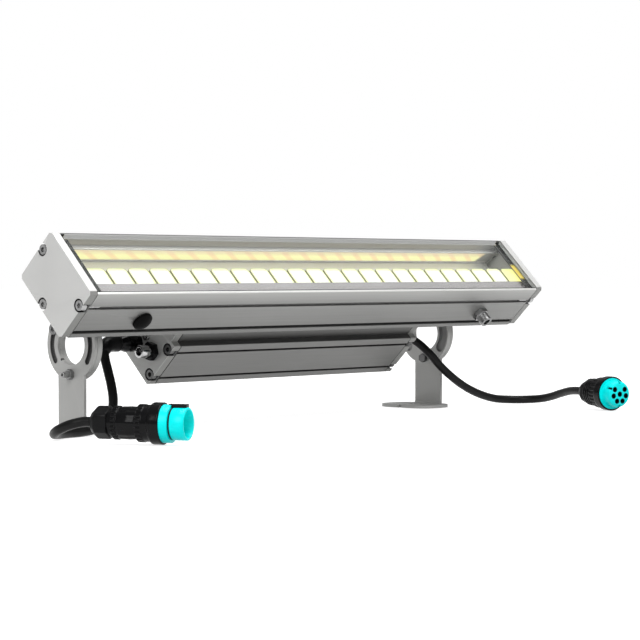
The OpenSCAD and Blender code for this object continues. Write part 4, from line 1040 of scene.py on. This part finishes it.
male_insert_profile = in_mm([
    (0.1, 53.95), (12, 53.95), (12, 54.25), (15, 54.25), (15, 66.4), (14.8, 66.7),
    (11.9, 66.7), (11.9, 68.3), (12.7, 68.3), (12.9, 68.6), (12.9, 79.6), (12.5, 80),
    (11.2, 80), (10.9, 79.6), (10.9, 62.2), (0.1, 62.2)])
male_seal_profile = in_mm([(11.95, 66.85), (12.6, 66.85), (12.75, 67.5), (12.6, 68.15),
                           (11.95, 68.15), (11.95, 66.85)])
male_insert = turned_piece("male_insert", aqua, "stand", left_place, male_insert_profile, 96, plain)
crisp(male_insert, SOFT_SHAPE_ANGLE)
male_seal = turned_piece("male_seal", gasket, "stand", left_place, male_seal_profile, 96, plain)
male_key = eased("male_key", black_gloss, 0.4 * MM)
male_pins = eased("male_pins", gold, 0.3 * MM)
female_insert = eased("female_insert", aqua_face, 0.2 * MM)
female_contacts = eased("female_contacts", black_gloss, 0.1 * MM)

for label, side, route, plug, on_it in (
        ("left", -1, LEFT_ROUTE, LEFT_PLUG,
         [male_nut, male_shell, male_ring, male_insert, male_seal, male_key, male_pins]),
        ("right", 1, RIGHT_ROUTE, RIGHT_PLUG,
         [female_nut, female_shell, female_ring, female_insert, female_contacts])):
    piece = new_piece(f"fine_{label}_cord", cable, "stand", "black_cable", f"{label}_cord")
    path = cord_path(side, route, plug)
    run = cord_tube(piece, path, CORD_R)
    boot = new_piece(f"fine_{label}_boot", black_matt, "stand", "black_rubber")
    cord_tube(boot, path[:BOOT_POINTS], boot_radius())
    on_it.append(boot)

# Light bar, driver box, brackets and their small pieces

bar_lenses(lenses)
seal_lips(seal)

for node in ("bar_housing", "driver_housing"):
    eased(node, body_metal, 0.4 * MM)
for side in ("left", "right"):
    eased(side + "_end_plate", bar_plate_metal, 0.5 * MM)
    eased(side + "_driver_plate", box_plate_metal, 0.5 * MM)
    eased(side + "_bracket", bracket_metal, 0.35 * MM)
    eased(side + "_swivel_arm", disc_metal, 0.35 * MM)
    eased(side + "_slot_bolts", nut_steel, 0.25 * MM)
    eased(side + "_lock_nut", nut_steel, 0.25 * MM)
    for part in ("arm_screws", "lock_screw"):
        eased(f"{side}_{part}", screw_steel, 0.25 * MM)
    for part in ("slot_nuts", "disc_bolt"):
        eased(f"{side}_{part}", dark_steel, 0.25 * MM)
for node in ("bar_plate_screws", "link_screws", "earth_screw"):
    eased(node, screw_steel, 0.25 * MM)
eased("driver_plate_screws", dark_steel, 0.25 * MM)
eased("pressure_valve", valve_steel, 0.3 * MM)
eased("test_port", chrome, 0.3 * MM)
eased("vent_plug", vent_rubber, 0.4 * MM)
for node in ("test_port_nut", "left_gland", "right_gland"):
    eased(node, black_gloss, 0.4 * MM)

# Pieces that keep the mesh of their CAD node
carried = {"front_glass": glass, "glass_seal": seal, "light_rail": rail_metal, "led_board": board,
           "led_chips": chip, "side_reflector": strip, "left_end_gasket": grey_gasket,
           "right_end_gasket": grey_gasket, "driver_module": driver, "left_driver_gasket": gasket,
           "right_driver_gasket": gasket, "feed_bush": gasket}
for node, material in carried.items():
    mesh = frame["nodes"][node].data
    mesh.materials.clear()
    mesh.materials.append(material)


# Floor, backdrop and lamps


def pale_ground():
    """A pale floor: to the camera, and in gloss and glass, it is nearly the backdrop's white."""
    finish = Finish("pale ground")
    speck = finish.noise(finish.place(), 40.0, 3.0)
    finish.set(Base_Color=finish.blend(speck, (0.49, 0.49, 0.49), (0.51, 0.51, 0.51)))
    finish.set(Roughness=0.9)
    path = finish.node("ShaderNodeLightPath")
    seen = finish.either(path.outputs["Is Camera Ray"], path.outputs["Is Glossy Ray"])
    seen = finish.either(seen, path.outputs["Is Transmission Ray"])
    finish.set(Emission_Color=(1, 1, 1, 1), Emission_Strength=finish.math("MULTIPLY", seen, 0.80))
    size = 12.0
    mesh = bpy.data.meshes.new("floor")
    mesh.from_pydata([(-size, -size, 0), (size, -size, 0), (size, size, 0), (-size, size, 0)], [],
                     [(0, 1, 2, 3)])
    mesh.materials.append(finish.material)
    floor = bpy.data.objects.new("floor", mesh)
    floor.location = (0, 0, -0.0002)
    bpy.context.scene.collection.objects.link(floor)


def pale_sky():
    """A white backdrop to the camera, and a softer light of its own on the object."""
    world = bpy.data.worlds.new("studio")
    world.use_nodes = True
    bpy.context.scene.world = world
    tree = world.node_tree
    background = tree.nodes["Background"]
    background.inputs[0].default_value = (1, 1, 1, 1)
    path = tree.nodes.new("ShaderNodeLightPath")
    seen = tree.nodes.new("ShaderNodeMath")
    seen.operation = "MAXIMUM"
    tree.links.new(path.outputs["Is Camera Ray"], seen.inputs[0])
    tree.links.new(path.outputs["Is Transmission Ray"], seen.inputs[1])
    level = tree.nodes.new("ShaderNodeMapRange")
    tree.links.new(seen.outputs[0], level.inputs[0])
    lowest, highest = level.inputs[3], level.inputs[4]
    lowest.default_value = 0.42
    highest.default_value = 1.0
    tree.links.new(level.outputs[0], background.inputs[1])


def soft_lamp(name, place, size, watts):
    """A square soft box that faces the light bar."""
    data = bpy.data.lights.new(name, "AREA")
    data.shape = "SQUARE"
    data.size = size
    data.energy = watts
    lamp = bpy.data.objects.new(name, data)
    lamp.location = place
    aim = Vector((0, 0, 0.1)) - lamp.location
    lamp.rotation_euler = aim.to_track_quat("-Z", "Y").to_euler()
    bpy.context.scene.collection.objects.link(lamp)


pale_ground()
pale_sky()
soft_lamp("key", (-2.2, -0.9, 1.5), 1.4, 36)
soft_lamp("top", (0.4, -0.5, 2.4), 1.8, 55)
soft_lamp("front", (0.6, -2.6, 1.0), 1.5, 7)

bpy.context.scene.view_settings.view_transform = "Standard"
